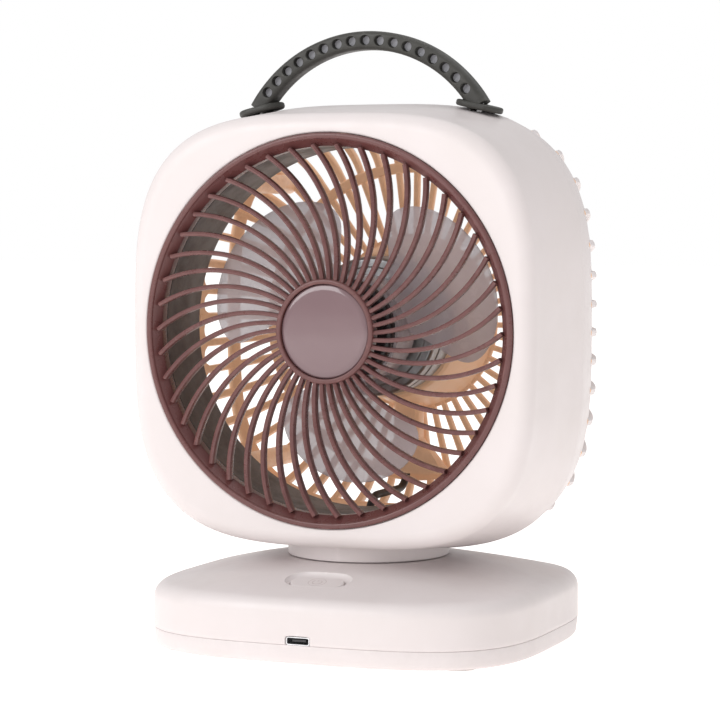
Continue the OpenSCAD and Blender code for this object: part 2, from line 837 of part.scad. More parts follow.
module impeller_hub() color(dark_col) {
  head_frame() difference() {
    union() {
      rod(hub_r, hub_back, hub_front - 1);
      rod(hub_r - 1, hub_back, hub_front);
    }
    tube(hub_r - 1.8, 5, hub_back - 1, hub_front - 2);
    rod(shaft_r, hub_back - 1, hub_front - 2);
  }
}

module blade_outline() {
  intersection() {
    circle(r=blade_tip_r, $fn=96);
    polygon([
      [hub_r, -6], [26, -19], [40, -31], [52, -36], [58, -20], [60, 0], [58, 20], [50, 34],
      [38, 34], [24, 22], [hub_r, 8]
    ]);
  }
}

module fan_blades() color(blade_col) {
  mid_z = (hub_front + hub_back) / 2;
  head_frame() {
    tube(hub_r + 1.2, hub_r + 0.02, hub_back + 0.5, hub_front - 1.5);
    difference() {
      intersection() {
        for (k = [0:blade_count - 1]) rotate([0, 0, 360 * k / blade_count + 20])
          translate([0, 0, mid_z]) rotate([blade_pitch, 0, 0])
            translate([0, 0, -blade_t / 2]) linear_extrude(blade_t) blade_outline();
        rod(blade_tip_r, hub_back + 0.2, hub_front + 2, $fn=96);
      }
      rod(hub_r + 0.6, hub_back - 5, hub_front + 5);
    }
  }
}

module motor_lead() color(dark_col) {
  bend = 8;
  lead_r = 1.4;
  lead_y = -frame_back - strut_d + 1.6;
  low = neck_top + 10;
  translate([0, lead_y, 0]) rod(lead_r, low + bend, axis_h - back_disc_r - 2);
  translate([0, lead_y - bend, low + bend]) rotate([90, 0, 90]) rotate([0, 0, -90])
    rotate_extrude(angle=90) translate([bend, 0]) circle(r=lead_r);
  translate([0, bend, low]) rotate([-90, 0, 0]) cylinder(r=lead_r, h=lead_y - 2 * bend);
  translate([0, bend, low - bend]) rotate([90, 0, 90]) rotate([0, 0, 90])
    rotate_extrude(angle=90) translate([bend, 0]) circle(r=lead_r);
  rod(lead_r, gear_bottom + 3, low - bend);
}

// ---- Handle ----

module on_pad(s) {
  translate([s * pad_x, pad_y, 0]) rotate([-90, 0, -s * pad_tilt]) children();
}

module handle_strap() color(dark_col) {
  head_frame() difference() {
    union() {
      difference() {
        translate([0, arch_y, 0]) rotate([0, 0, 90 - arch_half - 4])
          rotate_extrude(angle=2 * arch_half + 8, $fn=128) translate([strap_mid_r, 0])
            rounded_box2d(strap_t, strap_w, 1.6);
        for (s = [-1, 1]) on_pad(s) rod(30, -30, 0.6);
      }
      for (s = [-1, 1]) on_pad(s) translate([0, 0, 0.05]) pill(pad_len, pad_w, pad_t);
    }
    for (k = [0:dimple_count - 1], f = [0, 1]) translate([0, arch_y, 0])
      rotate([0, 0, 90 + (k - (dimple_count - 1) / 2) * 2 * (arch_half - 7.2) / (dimple_count - 1)])
        translate([strap_mid_r, 0, 0]) rotate([0, 180 * f, 0])
          rod(dimple_r, strap_w / 2 - dimple_depth, strap_w / 2 + 1);
    for (s = [-1, 1]) on_pad(s) rod(pilot_r, -1, 5);
  }
}

module handle_plates() color(steel_col) {
  head_frame() for (s = [-1, 1]) on_pad(s) difference() {
    translate([0, 0, -wall - 1.2 - plate_t]) pill(pad_len, pad_w - 3, plate_t);
    rod(screw_r + 0.2, -8, 0);
  }
}

module handle_screws() color(steel_col) {
  head_frame() for (s = [-1, 1]) on_pad(s) translate([0, 0, -wall - 1.2 - plate_t]) screw(8);
}

base_lower_shell();
base_upper_shell();
rubber_feet();
base_screws();
usb_socket();
usb_tongue();
main_board();
board_screws();
power_switch();
battery_cells();
swing_motor();
swing_motor_screws();
neck_bush();
power_button();
switch_plunger();
drive_pinion();
pinion_shaft();
neck();
swing_gear();
gear_washer();
gear_screws();
front_housing();
rear_cover();
housing_screws();
front_grille();
grille_badge();
air_duct();
duct_screws();
motor_frame();
frame_screws();
motor_can();
motor_stator();
motor_bearings();
motor_screws();
motor_lead();
handle_strap();
handle_plates();
handle_screws();
impeller_hub();
fan_blades();
motor_rotor();
motor_shaft();
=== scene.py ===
# %% [markdown]
# # A cordless swinging desk fan
# The fan is a rounded-square head on a low base. The mechanical model gives every body and
# joint, and each cell below makes one visible piece over it. We load that model first, because
# every size that two pieces share is read from its boxes.

# %% Load the frame
from math import acos, asin, atan, atan2, cos, hypot, pi, radians, sin, sqrt, tan

import bmesh
import bpy
from mathutils import Matrix, Vector


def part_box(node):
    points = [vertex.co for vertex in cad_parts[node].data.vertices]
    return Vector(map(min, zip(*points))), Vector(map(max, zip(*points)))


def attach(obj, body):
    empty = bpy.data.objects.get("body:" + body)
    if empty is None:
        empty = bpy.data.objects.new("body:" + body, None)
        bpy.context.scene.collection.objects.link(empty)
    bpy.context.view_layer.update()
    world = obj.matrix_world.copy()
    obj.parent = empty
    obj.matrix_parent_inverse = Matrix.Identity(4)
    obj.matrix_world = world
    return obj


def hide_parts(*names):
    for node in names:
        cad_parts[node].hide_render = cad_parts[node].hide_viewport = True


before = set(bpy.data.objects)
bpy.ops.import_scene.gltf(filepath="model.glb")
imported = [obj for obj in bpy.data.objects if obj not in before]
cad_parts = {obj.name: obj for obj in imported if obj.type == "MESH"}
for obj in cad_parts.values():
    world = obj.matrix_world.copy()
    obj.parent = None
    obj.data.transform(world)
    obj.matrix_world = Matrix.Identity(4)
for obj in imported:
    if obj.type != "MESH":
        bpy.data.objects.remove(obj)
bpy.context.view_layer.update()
scene = bpy.context.scene
mm = 0.001
full_turn = 2 * pi

# %% [markdown]
# The head is modelled lying on its back, with the air axis upwards, because every lathe and
# every loft is then about Z. One matrix stands it up in its place over the base.

# %% Sizes of the head
housing_low, housing_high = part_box("front_housing")
cover_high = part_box("rear_cover")[1]
grille_low, grille_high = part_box("front_grille")
duct_low, duct_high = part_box("air_duct")
head_half = housing_high.x
axis_height = housing_high.z - head_half
face = -housing_low.y
seam = -housing_high.y
back = -cover_high.y
ring_face = -grille_low.y
ring_back = -grille_high.y
ring_r = grille_high.x
head_corner = 3.4
shell_wall = 2.2 * mm
stand_up = Matrix.Translation((0, 0, axis_height)) @ Matrix.Rotation(radians(90), 4, "X")
print(f"head {2000 * head_half:.1f} mm wide, air axis {1000 * axis_height:.1f} mm up")

# %% [markdown]
# Most pieces are either turned on a lathe or lofted through a stack of outlines. Both start from
# a circle or a short wire, and an operator repeats it. A loft extrudes its last loop of edges
# and then moves the new points, and each point remembers its angle in a layer named turn.

# %% Lathe and loft
def add_part(bm, part, at=None):
    """Adds a small mesh to a piece. Building it apart keeps every operator call quick."""
    if at:
        part.transform(at)
    mesh = bpy.data.meshes.new("part")
    part.to_mesh(mesh)
    part.free()
    bm.from_mesh(mesh)
    bpy.data.meshes.remove(mesh)


def lathe(whole, outline, steps=96, closed=True, at=None):
    """Turns an outline of (radius, height) points round the Z axis."""
    bm = bmesh.new()
    points = [bm.verts.new((r, 0, z)) for r, z in outline]
    pairs = list(zip(points, points[1:] + points[:1]))
    if not closed:
        pairs = pairs[:-1]
    wire = [bm.edges.new(pair) for pair in pairs]
    bmesh.ops.spin(bm, geom=points + wire, cent=(0, 0, 0), axis=(0, 0, 1),
                   angle=full_turn, steps=steps, use_merge=True)
    add_part(whole, bm, at)


def loft(whole, rows, place, around=96, joined=False, capped=True, at=None):
    """Skins over the rows: place(row, turn) says where the point of each row goes."""
    bm = bmesh.new()
    layer = bm.verts.layers.float.new("turn")
    points = bmesh.ops.create_circle(bm, segments=around, radius=1)["verts"]
    edges = list({e for v in points for e in v.link_edges})
    for v in points:
        v[layer] = atan2(v.co.y, v.co.x)
        v.co = place(rows[0], v[layer])
    first = edges
    for row in rows[1:]:
        made = bmesh.ops.extrude_edge_only(bm, edges=edges)["geom"]
        fresh = {g for g in made if isinstance(g, bmesh.types.BMVert)}
        edges = [g for g in made if isinstance(g, bmesh.types.BMEdge) and set(g.verts) <= fresh]
        for v in fresh:
            v.co = place(row, v[layer])
    if joined:
        bmesh.ops.bridge_loops(bm, edges=first + edges)
    elif capped:
        bmesh.ops.contextual_create(bm, geom=first)
        bmesh.ops.contextual_create(bm, geom=edges)
    bm.verts.layers.float.remove(layer)
    add_part(whole, bm, at)


def soften(corners, steps=4, closed=True):
    """Outline through corners (across, along, radius), with an arc at each."""
    points = []
    last = len(corners) - 1
    for i, (x, y, radius) in enumerate(corners):
        here = Vector((x, y))
        if radius == 0 or not closed and i in (0, last):
            points.append(tuple(here))
            continue
        before = (Vector(corners[i - 1][:2]) - here).normalized()
        after = (Vector(corners[(i + 1) % len(corners)][:2]) - here).normalized()
        half = before.angle(after) / 2
        centre = here + (before + after).normalized() * radius / sin(half)
        start = (here + before * radius / tan(half) - centre).normalized()
        end = (here + after * radius / tan(half) - centre).normalized()
        points += [tuple(centre + start.slerp(end, k / steps) * radius) for k in range(steps + 1)]
    return points


def bar_section(inner, outer, low, high, radii, steps=4):
    """Outline of a rectangle from its inner low corner, with a radius for each corner."""
    return soften(list(zip((inner, outer, outer, inner), (low, low, high, high), radii)), steps)


def superellipse(turn, half_x, half_y, corner):
    """Point of a rounded-square outline in the direction of an angle."""
    c, s = cos(turn), sin(turn)
    r = (abs(c / half_x) ** corner + abs(s / half_y) ** corner) ** (-1 / corner)
    return r * c, r * s


def out_at(degrees, radius):
    """Placement at a radius from the Z axis, in a direction."""
    return Matrix.Rotation(radians(degrees), 4, "Z") @ Matrix.Translation((radius, 0, 0))


def lerp(a, b, t):
    return a + (b - a) * t


def spread(count, start=0.0, end=1.0):
    """Evenly spaced values, both ends included."""
    return [start + (end - start) * k / (count - 1) for k in range(count)]


print("lathe, loft and outline helpers ready")

# %% [markdown]
# Every finished piece goes through one door: its faces are turned outwards, it is stood in its
# place, it rides on a body, it stands for its plain nodes, and edges sharper than 35 degrees
# stay crisp while the rest shade smoothly.

# %% Finish a piece
crisp_angle = radians(35)
weld = 0.002 * mm


def make_object(name, bm, place=None):
    """Joins points that meet, turns the faces outwards and makes an object of the mesh."""
    bmesh.ops.remove_doubles(bm, verts=bm.verts, dist=weld)
    bmesh.ops.recalc_face_normals(bm, faces=bm.faces)
    if place:
        bm.transform(place)
    mesh = bpy.data.meshes.new(name)
    bm.to_mesh(mesh)
    bm.free()
    made = bpy.data.objects.new(name, mesh)
    scene.collection.objects.link(made)
    return made


def finish_piece(name, bm, body, nodes, finishes, place=None):
    piece = make_object(name, bm, place)
    for finish in finishes:
        piece.data.materials.append(finish)
    shade(piece)
    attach(piece, body)
    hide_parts(*nodes)
    return piece


def shade(piece):
    mesh = piece.data
    mesh.polygons.foreach_set("use_smooth", [True] * len(mesh.polygons))
    mesh.set_sharp_from_angle(angle=crisp_angle)
    print(f"{piece.name}: {sum(len(p.vertices) - 2 for p in mesh.polygons)} triangles")


def carve(piece, cutter_bm, place=None):
    """Takes the cutter's solid away from the piece, for good."""
    cutter = make_object("cutter", cutter_bm, place)
    cut = piece.modifiers.new("cut", "BOOLEAN")
    cut.operation = "DIFFERENCE"
    cut.solver = "MANIFOLD"
    cut.object = cutter
    evaluated = piece.evaluated_get(bpy.context.evaluated_depsgraph_get())
    carved = bpy.data.meshes.new_from_object(evaluated)
    piece.modifiers.clear()
    piece.data = carved
    bpy.data.objects.remove(cutter)
    shade(piece)


# %% [markdown]
# ## Finishes
# A moulded plastic is never one flat colour: it has a fine spark-eroded texture, faint clouds
# where the melt cooled unevenly, and patches rubbed smoother by hands. These effects are the
# same on every plastic at different strengths, so they are one node group. A second group gives
# the soft dust that settles on upward faces, and a third gives turned metal its fine lines.

# %% Node group helpers
def new_group(name, inputs, outputs):
    group = bpy.data.node_groups.new(name, "ShaderNodeTree")
    for label, value in inputs:
        made = group.interface.new_socket(name=label, in_out="INPUT", socket_type="NodeSocketFloat")
        made.default_value = value
    for label in outputs:
        group.interface.new_socket(name=label, in_out="OUTPUT", socket_type="NodeSocketFloat")
    return group, group.nodes.new("NodeGroupInput"), group.nodes.new("NodeGroupOutput")


def add(tree, kind, links=(), **settings):
    """Adds a node, sets its fields, and links sockets given as (from socket, input name)."""
    node = tree.nodes.new(kind)
    for field, value in settings.items():
        setattr(node, field, value)
    for source, target in links:
        tree.links.new(source, node.inputs[target])
    return node


def ramp(tree, source, low, high, out_low=0.0, out_high=1.0):
    node = add(tree, "ShaderNodeMapRange", [(source, "Value")])
    for label, value in (("From Min", low), ("From Max", high),
                         ("To Min", out_low), ("To Max", out_high)):
        node.inputs[label].default_value = value
    return node.outputs["Result"]


def noise(tree, place, scale, detail=3.0, rough=0.55):
    node = add(tree, "ShaderNodeTexNoise", [(place, "Vector")])
    if isinstance(scale, (int, float)):
        node.inputs["Scale"].default_value = scale
    else:
        tree.links.new(scale, node.inputs["Scale"])
    node.inputs["Detail"].default_value = detail
    node.inputs["Roughness"].default_value = rough
    return node.outputs["Fac"]


print("node helpers ready")

# %% The moulded skin group
moulded, inside, outside = new_group(
    "moulded_skin", [("Grain per metre", 2600), ("Clouds per metre", 35)],
    ["Grain", "Clouds", "Rubbed"])
spot = add(moulded, "ShaderNodeTexCoord").outputs["Object"]
grain = noise(moulded, spot, inside.outputs["Grain per metre"], 2.0, 0.5)
clouds = noise(moulded, spot, inside.outputs["Clouds per metre"], 3.0, 0.6)
rubbed = noise(moulded, spot, 90, 5.0, 0.7)
moulded.links.new(grain, outside.inputs["Grain"])
moulded.links.new(ramp(moulded, clouds, 0.3, 0.7), outside.inputs["Clouds"])
moulded.links.new(ramp(moulded, rubbed, 0.42, 0.62), outside.inputs["Rubbed"])
print("moulded_skin:", len(moulded.nodes), "nodes")

# %% The settled dust group
dusty, inside, outside = new_group("settled_dust", [("Reach", 0.55)], ["Dust"])
spot = add(dusty, "ShaderNodeTexCoord")
up = add(dusty, "ShaderNodeSeparateXYZ", [(spot.outputs["Normal"], "Vector")]).outputs["Z"]
flat = ramp(dusty, up, 0.35, 1.0)
patches = ramp(dusty, noise(dusty, spot.outputs["Object"], 60, 6.0, 0.7), 0.35, 0.75)
specks = ramp(dusty, noise(dusty, spot.outputs["Object"], 1500, 2.0, 0.6), 0.52, 0.7)
both = add(dusty, "ShaderNodeMath", [(patches, 0), (specks, 1)], operation="MULTIPLY")
laid = add(dusty, "ShaderNodeMath", [(both.outputs[0], 0), (flat, 1)], operation="MULTIPLY")
held = add(dusty, "ShaderNodeMath", [(laid.outputs[0], 0), (inside.outputs["Reach"], 1)],
           operation="MULTIPLY")
dusty.links.new(held.outputs[0], outside.inputs["Dust"])
print("settled_dust:", len(dusty.nodes), "nodes")

# %% The edge wear group
worn, inside, outside = new_group("worn_edges", [("Sharpness", 12.0)], ["Wear"])
spot = add(worn, "ShaderNodeTexCoord").outputs["Object"]
shape = add(worn, "ShaderNodeNewGeometry").outputs["Pointiness"]
proud = add(worn, "ShaderNodeMath", [(shape, 0)], operation="SUBTRACT")
proud.inputs[1].default_value = 0.5
edge = add(worn, "ShaderNodeMath", [(proud.outputs[0], 0), (inside.outputs["Sharpness"], 1)],
           operation="MULTIPLY", use_clamp=True)
broken = ramp(worn, noise(worn, spot, 260, 4.0, 0.65), 0.35, 0.65)
wear = add(worn, "ShaderNodeMath", [(edge.outputs[0], 0), (broken, 1)], operation="MULTIPLY")
worn.links.new(wear.outputs[0], outside.inputs["Wear"])
print("worn_edges:", len(worn.nodes), "nodes")

# %% The turned metal group
turned, inside, outside = new_group("turned_lines", [("Lines per metre", 3000)],
                                    ["Lines", "Stain"])
spot = add(turned, "ShaderNodeTexCoord").outputs["Object"]
squeeze = add(turned, "ShaderNodeMapping", [(spot, "Vector")])
squeeze.inputs["Scale"].default_value = (0.03, 1.0, 0.03)
fine = noise(turned, squeeze.outputs["Vector"], inside.outputs["Lines per metre"], 2.0, 0.6)
stain = ramp(turned, noise(turned, spot, 140, 4.0, 0.6), 0.4, 0.7)
turned.links.new(fine, outside.inputs["Lines"])
turned.links.new(stain, outside.inputs["Stain"])
print("turned_lines:", len(turned.nodes), "nodes")


# %% [markdown]
# A colour is written as it would be picked on a screen and turned into linear light here. Each
# finish mixes a base colour with a slightly different one by the clouds, lets the rubbed patches
# change its roughness, and takes its grain as a fine bump. Edge wear lightens sharp corners.

# %% Plastic, rubber and metal makers
def linear(red, green, blue):
    def one(value):
        value /= 255
        return value / 12.92 if value <= 0.04045 else ((value + 0.055) / 1.055) ** 2.4
    return one(red), one(green), one(blue), 1.0


def set_inputs(node, **values):
    for label, value in values.items():
        node.inputs[label.replace("_", " ")].default_value = value
    return node


def group_node(tree, group, **values):
    return set_inputs(add(tree, "ShaderNodeGroup", node_tree=group), **values)


def blend_colours(tree, mask, first, second):
    node = add(tree, "ShaderNodeMix", [(mask, "Factor")], data_type="RGBA")
    for label, colour in (("A", first), ("B", second)):
        if isinstance(colour, tuple):
            node.inputs[label].default_value = colour
        else:
            tree.links.new(colour, node.inputs[label])
    return node.outputs["Result"]


def new_material(name):
    material = bpy.data.materials.new(name)
    material.use_nodes = True
    return material, material.node_tree, material.node_tree.nodes["Principled BSDF"]


def raise_bump(tree, surface, height, strength, distance):
    """Turns a height into the surface's bump, at most distance high."""
    bump = set_inputs(add(tree, "ShaderNodeBump", [(height, "Height")]), Strength=strength,
                      Distance=distance)
    tree.links.new(bump.outputs["Normal"], surface.inputs["Normal"])


def moulded_plastic(name, colour, cloud, rough, grain=0.25, grain_size=2600, dust=0.25,
                    wear=0.5, **shader):
    """A plastic or rubber finish: rough is (smoothest, roughest), grain the bump's strength."""
    material, tree, surface = new_material(name)
    skin = group_node(tree, moulded, Grain_per_metre=grain_size)
    dust_mask = group_node(tree, dusty, Reach=dust).outputs["Dust"]
    edges = group_node(tree, worn, Sharpness=wear * 20).outputs["Wear"]
    base = blend_colours(tree, skin.outputs["Clouds"], linear(*colour), linear(*cloud))
    lighter = linear(*[min(255, c + 22) for c in colour])
    worn_colour = blend_colours(tree, edges, base, lighter)
    dusted = blend_colours(tree, dust_mask, worn_colour, linear(205, 198, 190))
    tree.links.new(dusted, surface.inputs["Base Color"])
    tree.links.new(ramp(tree, skin.outputs["Rubbed"], 0, 1, *rough), surface.inputs["Roughness"])
    raise_bump(tree, surface, skin.outputs["Grain"], grain, 0.05 * mm)
    set_inputs(surface, **shader)
    return material


def worked_metal(name, colour, tarnish, rough, lines=3000, strength=0.2, metallic=1.0):
    material, tree, surface = new_material(name)
    marks = group_node(tree, turned, Lines_per_metre=lines)
    edges = group_node(tree, worn, Sharpness=8).outputs["Wear"]
    base = blend_colours(tree, marks.outputs["Stain"], linear(*colour), linear(*tarnish))
    bright = linear(*[min(255, c + 30) for c in colour])
    tree.links.new(blend_colours(tree, edges, base, bright), surface.inputs["Base Color"])
    tree.links.new(ramp(tree, marks.outputs["Lines"], 0.3, 0.7, *rough),
                   surface.inputs["Roughness"])
    raise_bump(tree, surface, marks.outputs["Lines"], strength, 0.03 * mm)
    set_inputs(surface, Metallic=metallic)
    return material


# %% The finishes of this fan
shell = moulded_plastic("shell_satin", (220, 212, 212), (216, 208, 207), (0.36, 0.48), grain=0.18,
                        dust=0.1, wear=0.2)
grille_brown = moulded_plastic("grille_brown", (101, 62, 60), (95, 57, 56), (0.24, 0.36),
                               grain=0.12, dust=0.12, wear=0.35)
badge_gloss = moulded_plastic("badge_gloss", (122, 98, 102), (117, 93, 97), (0.1, 0.16),
                              grain=0.04, dust=0.08, wear=0.2, Coat_Weight=0.5,
                              Coat_Roughness=0.06)
duct_grey = moulded_plastic("duct_grey", (74, 66, 63), (68, 60, 58), (0.42, 0.55), grain=0.3,
                            dust=0.2)
# The tan is painted warm bounce shade for the inside of the pale cover and the frame, and its emission is
# a painted glow.
painted_bounce_tan = moulded_plastic("inner_painted_bounce_glow", (222, 186, 154), (214, 176, 143), (0.4, 0.55),
                              grain=0.25, dust=0.15, Emission_Color=linear(206, 168, 136),
                              Emission_Strength=0.22)
smoky = moulded_plastic("blade_smoky", (224, 212, 216), (214, 202, 207), (0.2, 0.3), grain=0.08,
                        dust=0.1, wear=0.1, Alpha=0.62)
hub_black = moulded_plastic("hub_gloss", (52, 46, 47), (46, 40, 42), (0.14, 0.24), grain=0.06,
                            dust=0.15)
strap_rubber = moulded_plastic("strap_rubber", (53, 52, 48), (47, 46, 43), (0.45, 0.6),
                               grain=0.45, grain_size=2000, dust=0.35, wear=0.5)
# Dimple floors: a lighter grey that is a painted highlight in the hollows.
painted_dimple_highlight = moulded_plastic("painted_dimple_highlight", (158, 158, 164), (142, 142, 148), (0.5, 0.62),
                              grain=0.4, dust=0.2, wear=0.2)
foot_rubber = moulded_plastic("foot_rubber", (205, 201, 199), (196, 191, 189), (0.6, 0.75), grain=0.5,
                              grain_size=1800, dust=0.3)
dark_plastic = moulded_plastic("dark_plastic", (44, 44, 46), (38, 38, 40), (0.35, 0.5))
acetal = moulded_plastic("white_acetal", (238, 236, 228), (230, 228, 218), (0.3, 0.42), grain=0.1)
mark_grey = moulded_plastic("button_mark", (196, 184, 184), (188, 176, 176), (0.4, 0.5))
sleeve = moulded_plastic("cell_sleeve", (74, 124, 158), (66, 114, 148), (0.18, 0.3), grain=0.05)
sheath = moulded_plastic("lead_sheath", (40, 40, 42), (34, 34, 36), (0.45, 0.6), grain=0.2)
motor_steel = worked_metal("motor_steel", (150, 150, 152), (128, 126, 126), (0.28, 0.44))
screw_steel = worked_metal("screw_steel", (176, 176, 178), (150, 148, 146), (0.25, 0.4))
socket_steel = worked_metal("socket_steel", (206, 207, 210), (186, 186, 188), (0.16, 0.28))
shaft_steel = worked_metal("shaft_steel", (190, 191, 194), (165, 165, 168), (0.12, 0.24))
copper = worked_metal("copper_winding", (184, 104, 62), (150, 82, 48), (0.3, 0.45), lines=9000,
                      strength=0.8)
magnet = worked_metal("magnet", (92, 92, 98), (74, 74, 80), (0.4, 0.6), metallic=0.6)
print(len(bpy.data.materials), "finishes")

# %% [markdown]
# The circuit board is the one flat laminate: a green solder mask over copper tracks. The tracks
# come from a brick texture, raised a little by the bump, so it has a material of its own.

# %% The board finish
board, tree, surface = new_material("board_laminate")
spot = add(tree, "ShaderNodeTexCoord").outputs["Object"]
tracks = add(tree, "ShaderNodeTexBrick", [(spot, "Vector")])
set_inputs(tracks, Scale=320, Mortar_Size=0.06, Color1=linear(34, 96, 62),
           Color2=linear(28, 84, 54), Mortar=linear(58, 132, 84))
tree.links.new(tracks.outputs["Color"], surface.inputs["Base Color"])
haze = group_node(tree, moulded, Grain_per_metre=3000)
tree.links.new(ramp(tree, haze.outputs["Rubbed"], 0, 1, 0.22, 0.4), surface.inputs["Roughness"])
raise_bump(tree, surface, tracks.outputs["Fac"], 0.3, 0.05 * mm)
print("board_laminate ready")

# %% [markdown]
# ## The front housing
# The front shell is a deep rounded square with a soft edge round its face and a round mouth for
# the grille. A cube with bevels would not give this outline, whose sides are all slightly bowed,
# so it is a loft through superellipses. On the face the outline turns from rounded square to
# circle, and rows close to each bend keep the flat face flat under smooth shading. The sides draw
# in a little towards the face.

# %% Front housing
face_fillet = 5.6 * mm
front_taper = 4.1 * mm
mouth_r = ring_r + 0.1 * mm
mouth_edge = 0.7 * mm
seam_bevel = 0.35 * mm


def head_outline(row, turn):
    """A row is depth, half size of the rounded square, radius of the circle, and their mix."""
    depth, half, radius, mix = row
    square = superellipse(turn, half or radius, half or radius, head_corner)
    return (lerp(square[0], radius * cos(turn), mix),
            lerp(square[1], radius * sin(turn), mix), depth)


def housing_rows():
    front_half = head_half - front_taper
    flat_half = front_half - face_fillet
    bend = face - face_fillet
    rows = [(seam, head_half - seam_bevel, 0, 0),
            (seam + seam_bevel / 2, head_half - 0.05 * mm, 0, 0),
            (seam + seam_bevel, head_half, 0, 0)]
    rows += [(lerp(seam, bend, t), lerp(head_half, front_half, t), 0, 0)
             for t in spread(8, 0.05, 1)]
    rows += [(bend + face_fillet * sin(a), flat_half + face_fillet * cos(a), 0, 0)
             for a in spread(13, radians(7.5), radians(90))]
    edge_r = mouth_r + mouth_edge
    rows += [(face, flat_half, edge_r, mix) for mix in (0.06, 0.35, 0.65, 0.94, 1)]
    rows += [(face - mouth_edge * (1 - cos(a)), 0, edge_r - mouth_edge * sin(a), 1)
             for a in spread(5, radians(18), radians(90))]
    lip_r = mouth_r + 2 * mm
    rows += [(depth, 0, radius, 1) for depth, radius in
             ((face - 2 * mm, mouth_r), (ring_back, mouth_r), (ring_back, lip_r), (bend, lip_r))]
    return rows + [(bend - 1 * mm, front_half - shell_wall, 0, 0),
                   (seam, head_half - shell_wall, 0, 0)]


bm = bmesh.new()
loft(bm, housing_rows(), head_outline, around=240, joined=True)
finish_piece("housing_front", bm, "head", ["front_housing"], [shell], stand_up)

# %% [markdown]
# ## The rear cover
# The rear cover carries on from the seam, a hair smaller so that the joint reads as a thin line,
# and rounds in to a flat back. Forty-eight ribs run from a solid disc over the rounding and end
# as knobs on the side. A ring and a band tie them. Ribs are lofts along the cover's own curve:
# cutting the slots out of a shell would leave them square, and the real ones are round.

# %% Shape of the rear cover
rib_count = 48
rib_phase = radians(-1.2)
cover_step = 0.3 * mm
cover_draft = tan(radians(2))
cover_sweep = 20 * mm
cover_depth = seam - back
skin_length = 16 * mm
slot_round = 2.6 * mm
rib_proud = 1.6 * mm
disc_r = 32.5 * mm


def cover_half(depth):
    behind = seam - depth
    rounding = 1 - sqrt(max(0.0, 1 - (behind / cover_depth) ** 2))
    return head_half - cover_step - behind * cover_draft - cover_sweep * rounding


def neck_side(turn):
    """True over the neck, where the skin runs down to the back without slots."""
    return abs(turn + pi / 2) < radians(25)


def skin_end(turn):
    """Length of the skin behind the seam: it reaches further at each rib, so slots end round."""
    if neck_side(turn):
        return 34 * mm
    pitch = full_turn / rib_count
    across = abs(((turn - rib_phase) / pitch) % 1 - 0.5) * 2
    return skin_length + slot_round * (1 - sqrt(1 - min(across / 0.72, 1) ** 2))


def skin_place(row, turn):
    share, inset = row
    depth = seam - skin_end(turn) * share
    half = cover_half(depth) - inset
    return (*superellipse(turn, half, half, head_corner), depth)


print(f"cover half size at the back {1000 * cover_half(back + 0.01 * mm):.1f} mm")

# %% Rear cover skin, band and ring
bm = bmesh.new()
skin_rows = [(0, seam_bevel), (0.012, 0.06 * mm), (0.024, 0)]
skin_rows += [(share, 0) for share in (0.1, 0.25, 0.4, 0.55, 0.7, 0.85, 0.94)]
skin_rows += [(0.98, 0.25 * mm), (1, 0.7 * mm), (1, shell_wall - 0.5 * mm),
              (0.97, shell_wall), (0.5, shell_wall), (0, shell_wall)]
loft(bm, skin_rows, skin_place, around=rib_count * 10, joined=True)


def band_place(row, turn):
    depth, inset = row
    half = cover_half(depth) - inset
    return (*superellipse(turn, half, half, head_corner), depth)


band_front = seam - 29 * mm
band_rows = bar_section(band_front, band_front - 4 * mm, 0.3 * mm, 2.4 * mm, [0.7 * mm] * 4, 2)
loft(bm, band_rows, band_place, around=192, joined=True)
tie_ring = bar_section(55 * mm, 59 * mm, back + 0.5 * mm, back + 3 * mm, [0.8 * mm] * 4, 3)
lathe(bm, tie_ring, 160)
groove_floor, disc_floor, turned_edge = back + 0.9 * mm, back + shell_wall, 0.3 * mm
disc_line = soften([(0, back + 0.2 * mm, 0), (disc_r - 7 * mm, back + 0.2 * mm, turned_edge),
                    (disc_r - 6.4 * mm, groove_floor, turned_edge),
                    (disc_r - 5.2 * mm, groove_floor, turned_edge),
                    (disc_r - 4.6 * mm, back, turned_edge), (disc_r, back, 0.9 * mm),
                    (disc_r, disc_floor, 0.4 * mm), (0, disc_floor, 0)], 3, closed=False)
lathe(bm, disc_line, 128, closed=False)
print("skin, band, ring and disc:", len(bm.faces), "faces")

# %% Rear cover ribs
rib_inner_w, rib_outer_w = 2 * mm, 3 * mm
rib_depth = 2.6 * mm
knob_end = skin_length - 2.8 * mm


def cover_line(behind_angle, stretch):
    """Radius and depth of the cover's surface, where behind = depth of the cover * sin(angle)."""
    depth = seam - cover_depth * sin(behind_angle)
    return cover_half(depth) * stretch, depth


def rib_rows(angle):
    """Rows of radius, depth, slope of the surface, half width, and how far the rib is proud."""
    stretch = hypot(*superellipse(angle, 1, 1, head_corner))
    start = disc_r - 1.5 * mm
    edge_r, _ = cover_line(pi / 2, stretch)
    line = [(r, back, 0.0) for r in spread(6, start, edge_r - 1.5 * mm)]
    for a in spread(15, radians(86), asin(knob_end / cover_depth)):
        radius, depth = cover_line(a, stretch)
        ahead_r, ahead_d = cover_line(a - 0.01, stretch)
        line.append((radius, depth, atan2(ahead_d - depth, ahead_r - radius)))
    rows = []
    for radius, depth, slope in line:
        share = min(1, (radius - start) / (head_half - start))
        fade = sqrt(max(0.02, min(1, (seam - depth - knob_end) / (2.2 * mm))))
        rows.append((radius, depth, slope, lerp(rib_inner_w, rib_outer_w, share) / 2,
                     rib_proud * sin(slope) * fade))
    return rows


def rib_place(angle):
    def place(row, turn):
        radius, depth, slope, half_w, proud = row
        side, out = superellipse(turn, half_w, (rib_depth + proud) / 2, 3.2)
        out += (proud - rib_depth) / 2
        radius += out * sin(slope)
        depth -= out * cos(slope)
        return (radius * cos(angle) - side * sin(angle),
                radius * sin(angle) + side * cos(angle), depth)
    return place


for k in range(rib_count):
    angle = rib_phase + full_turn * k / rib_count
    loft(bm, rib_rows(angle), rib_place(angle), around=12)
print("with ribs:", len(bm.faces), "faces")

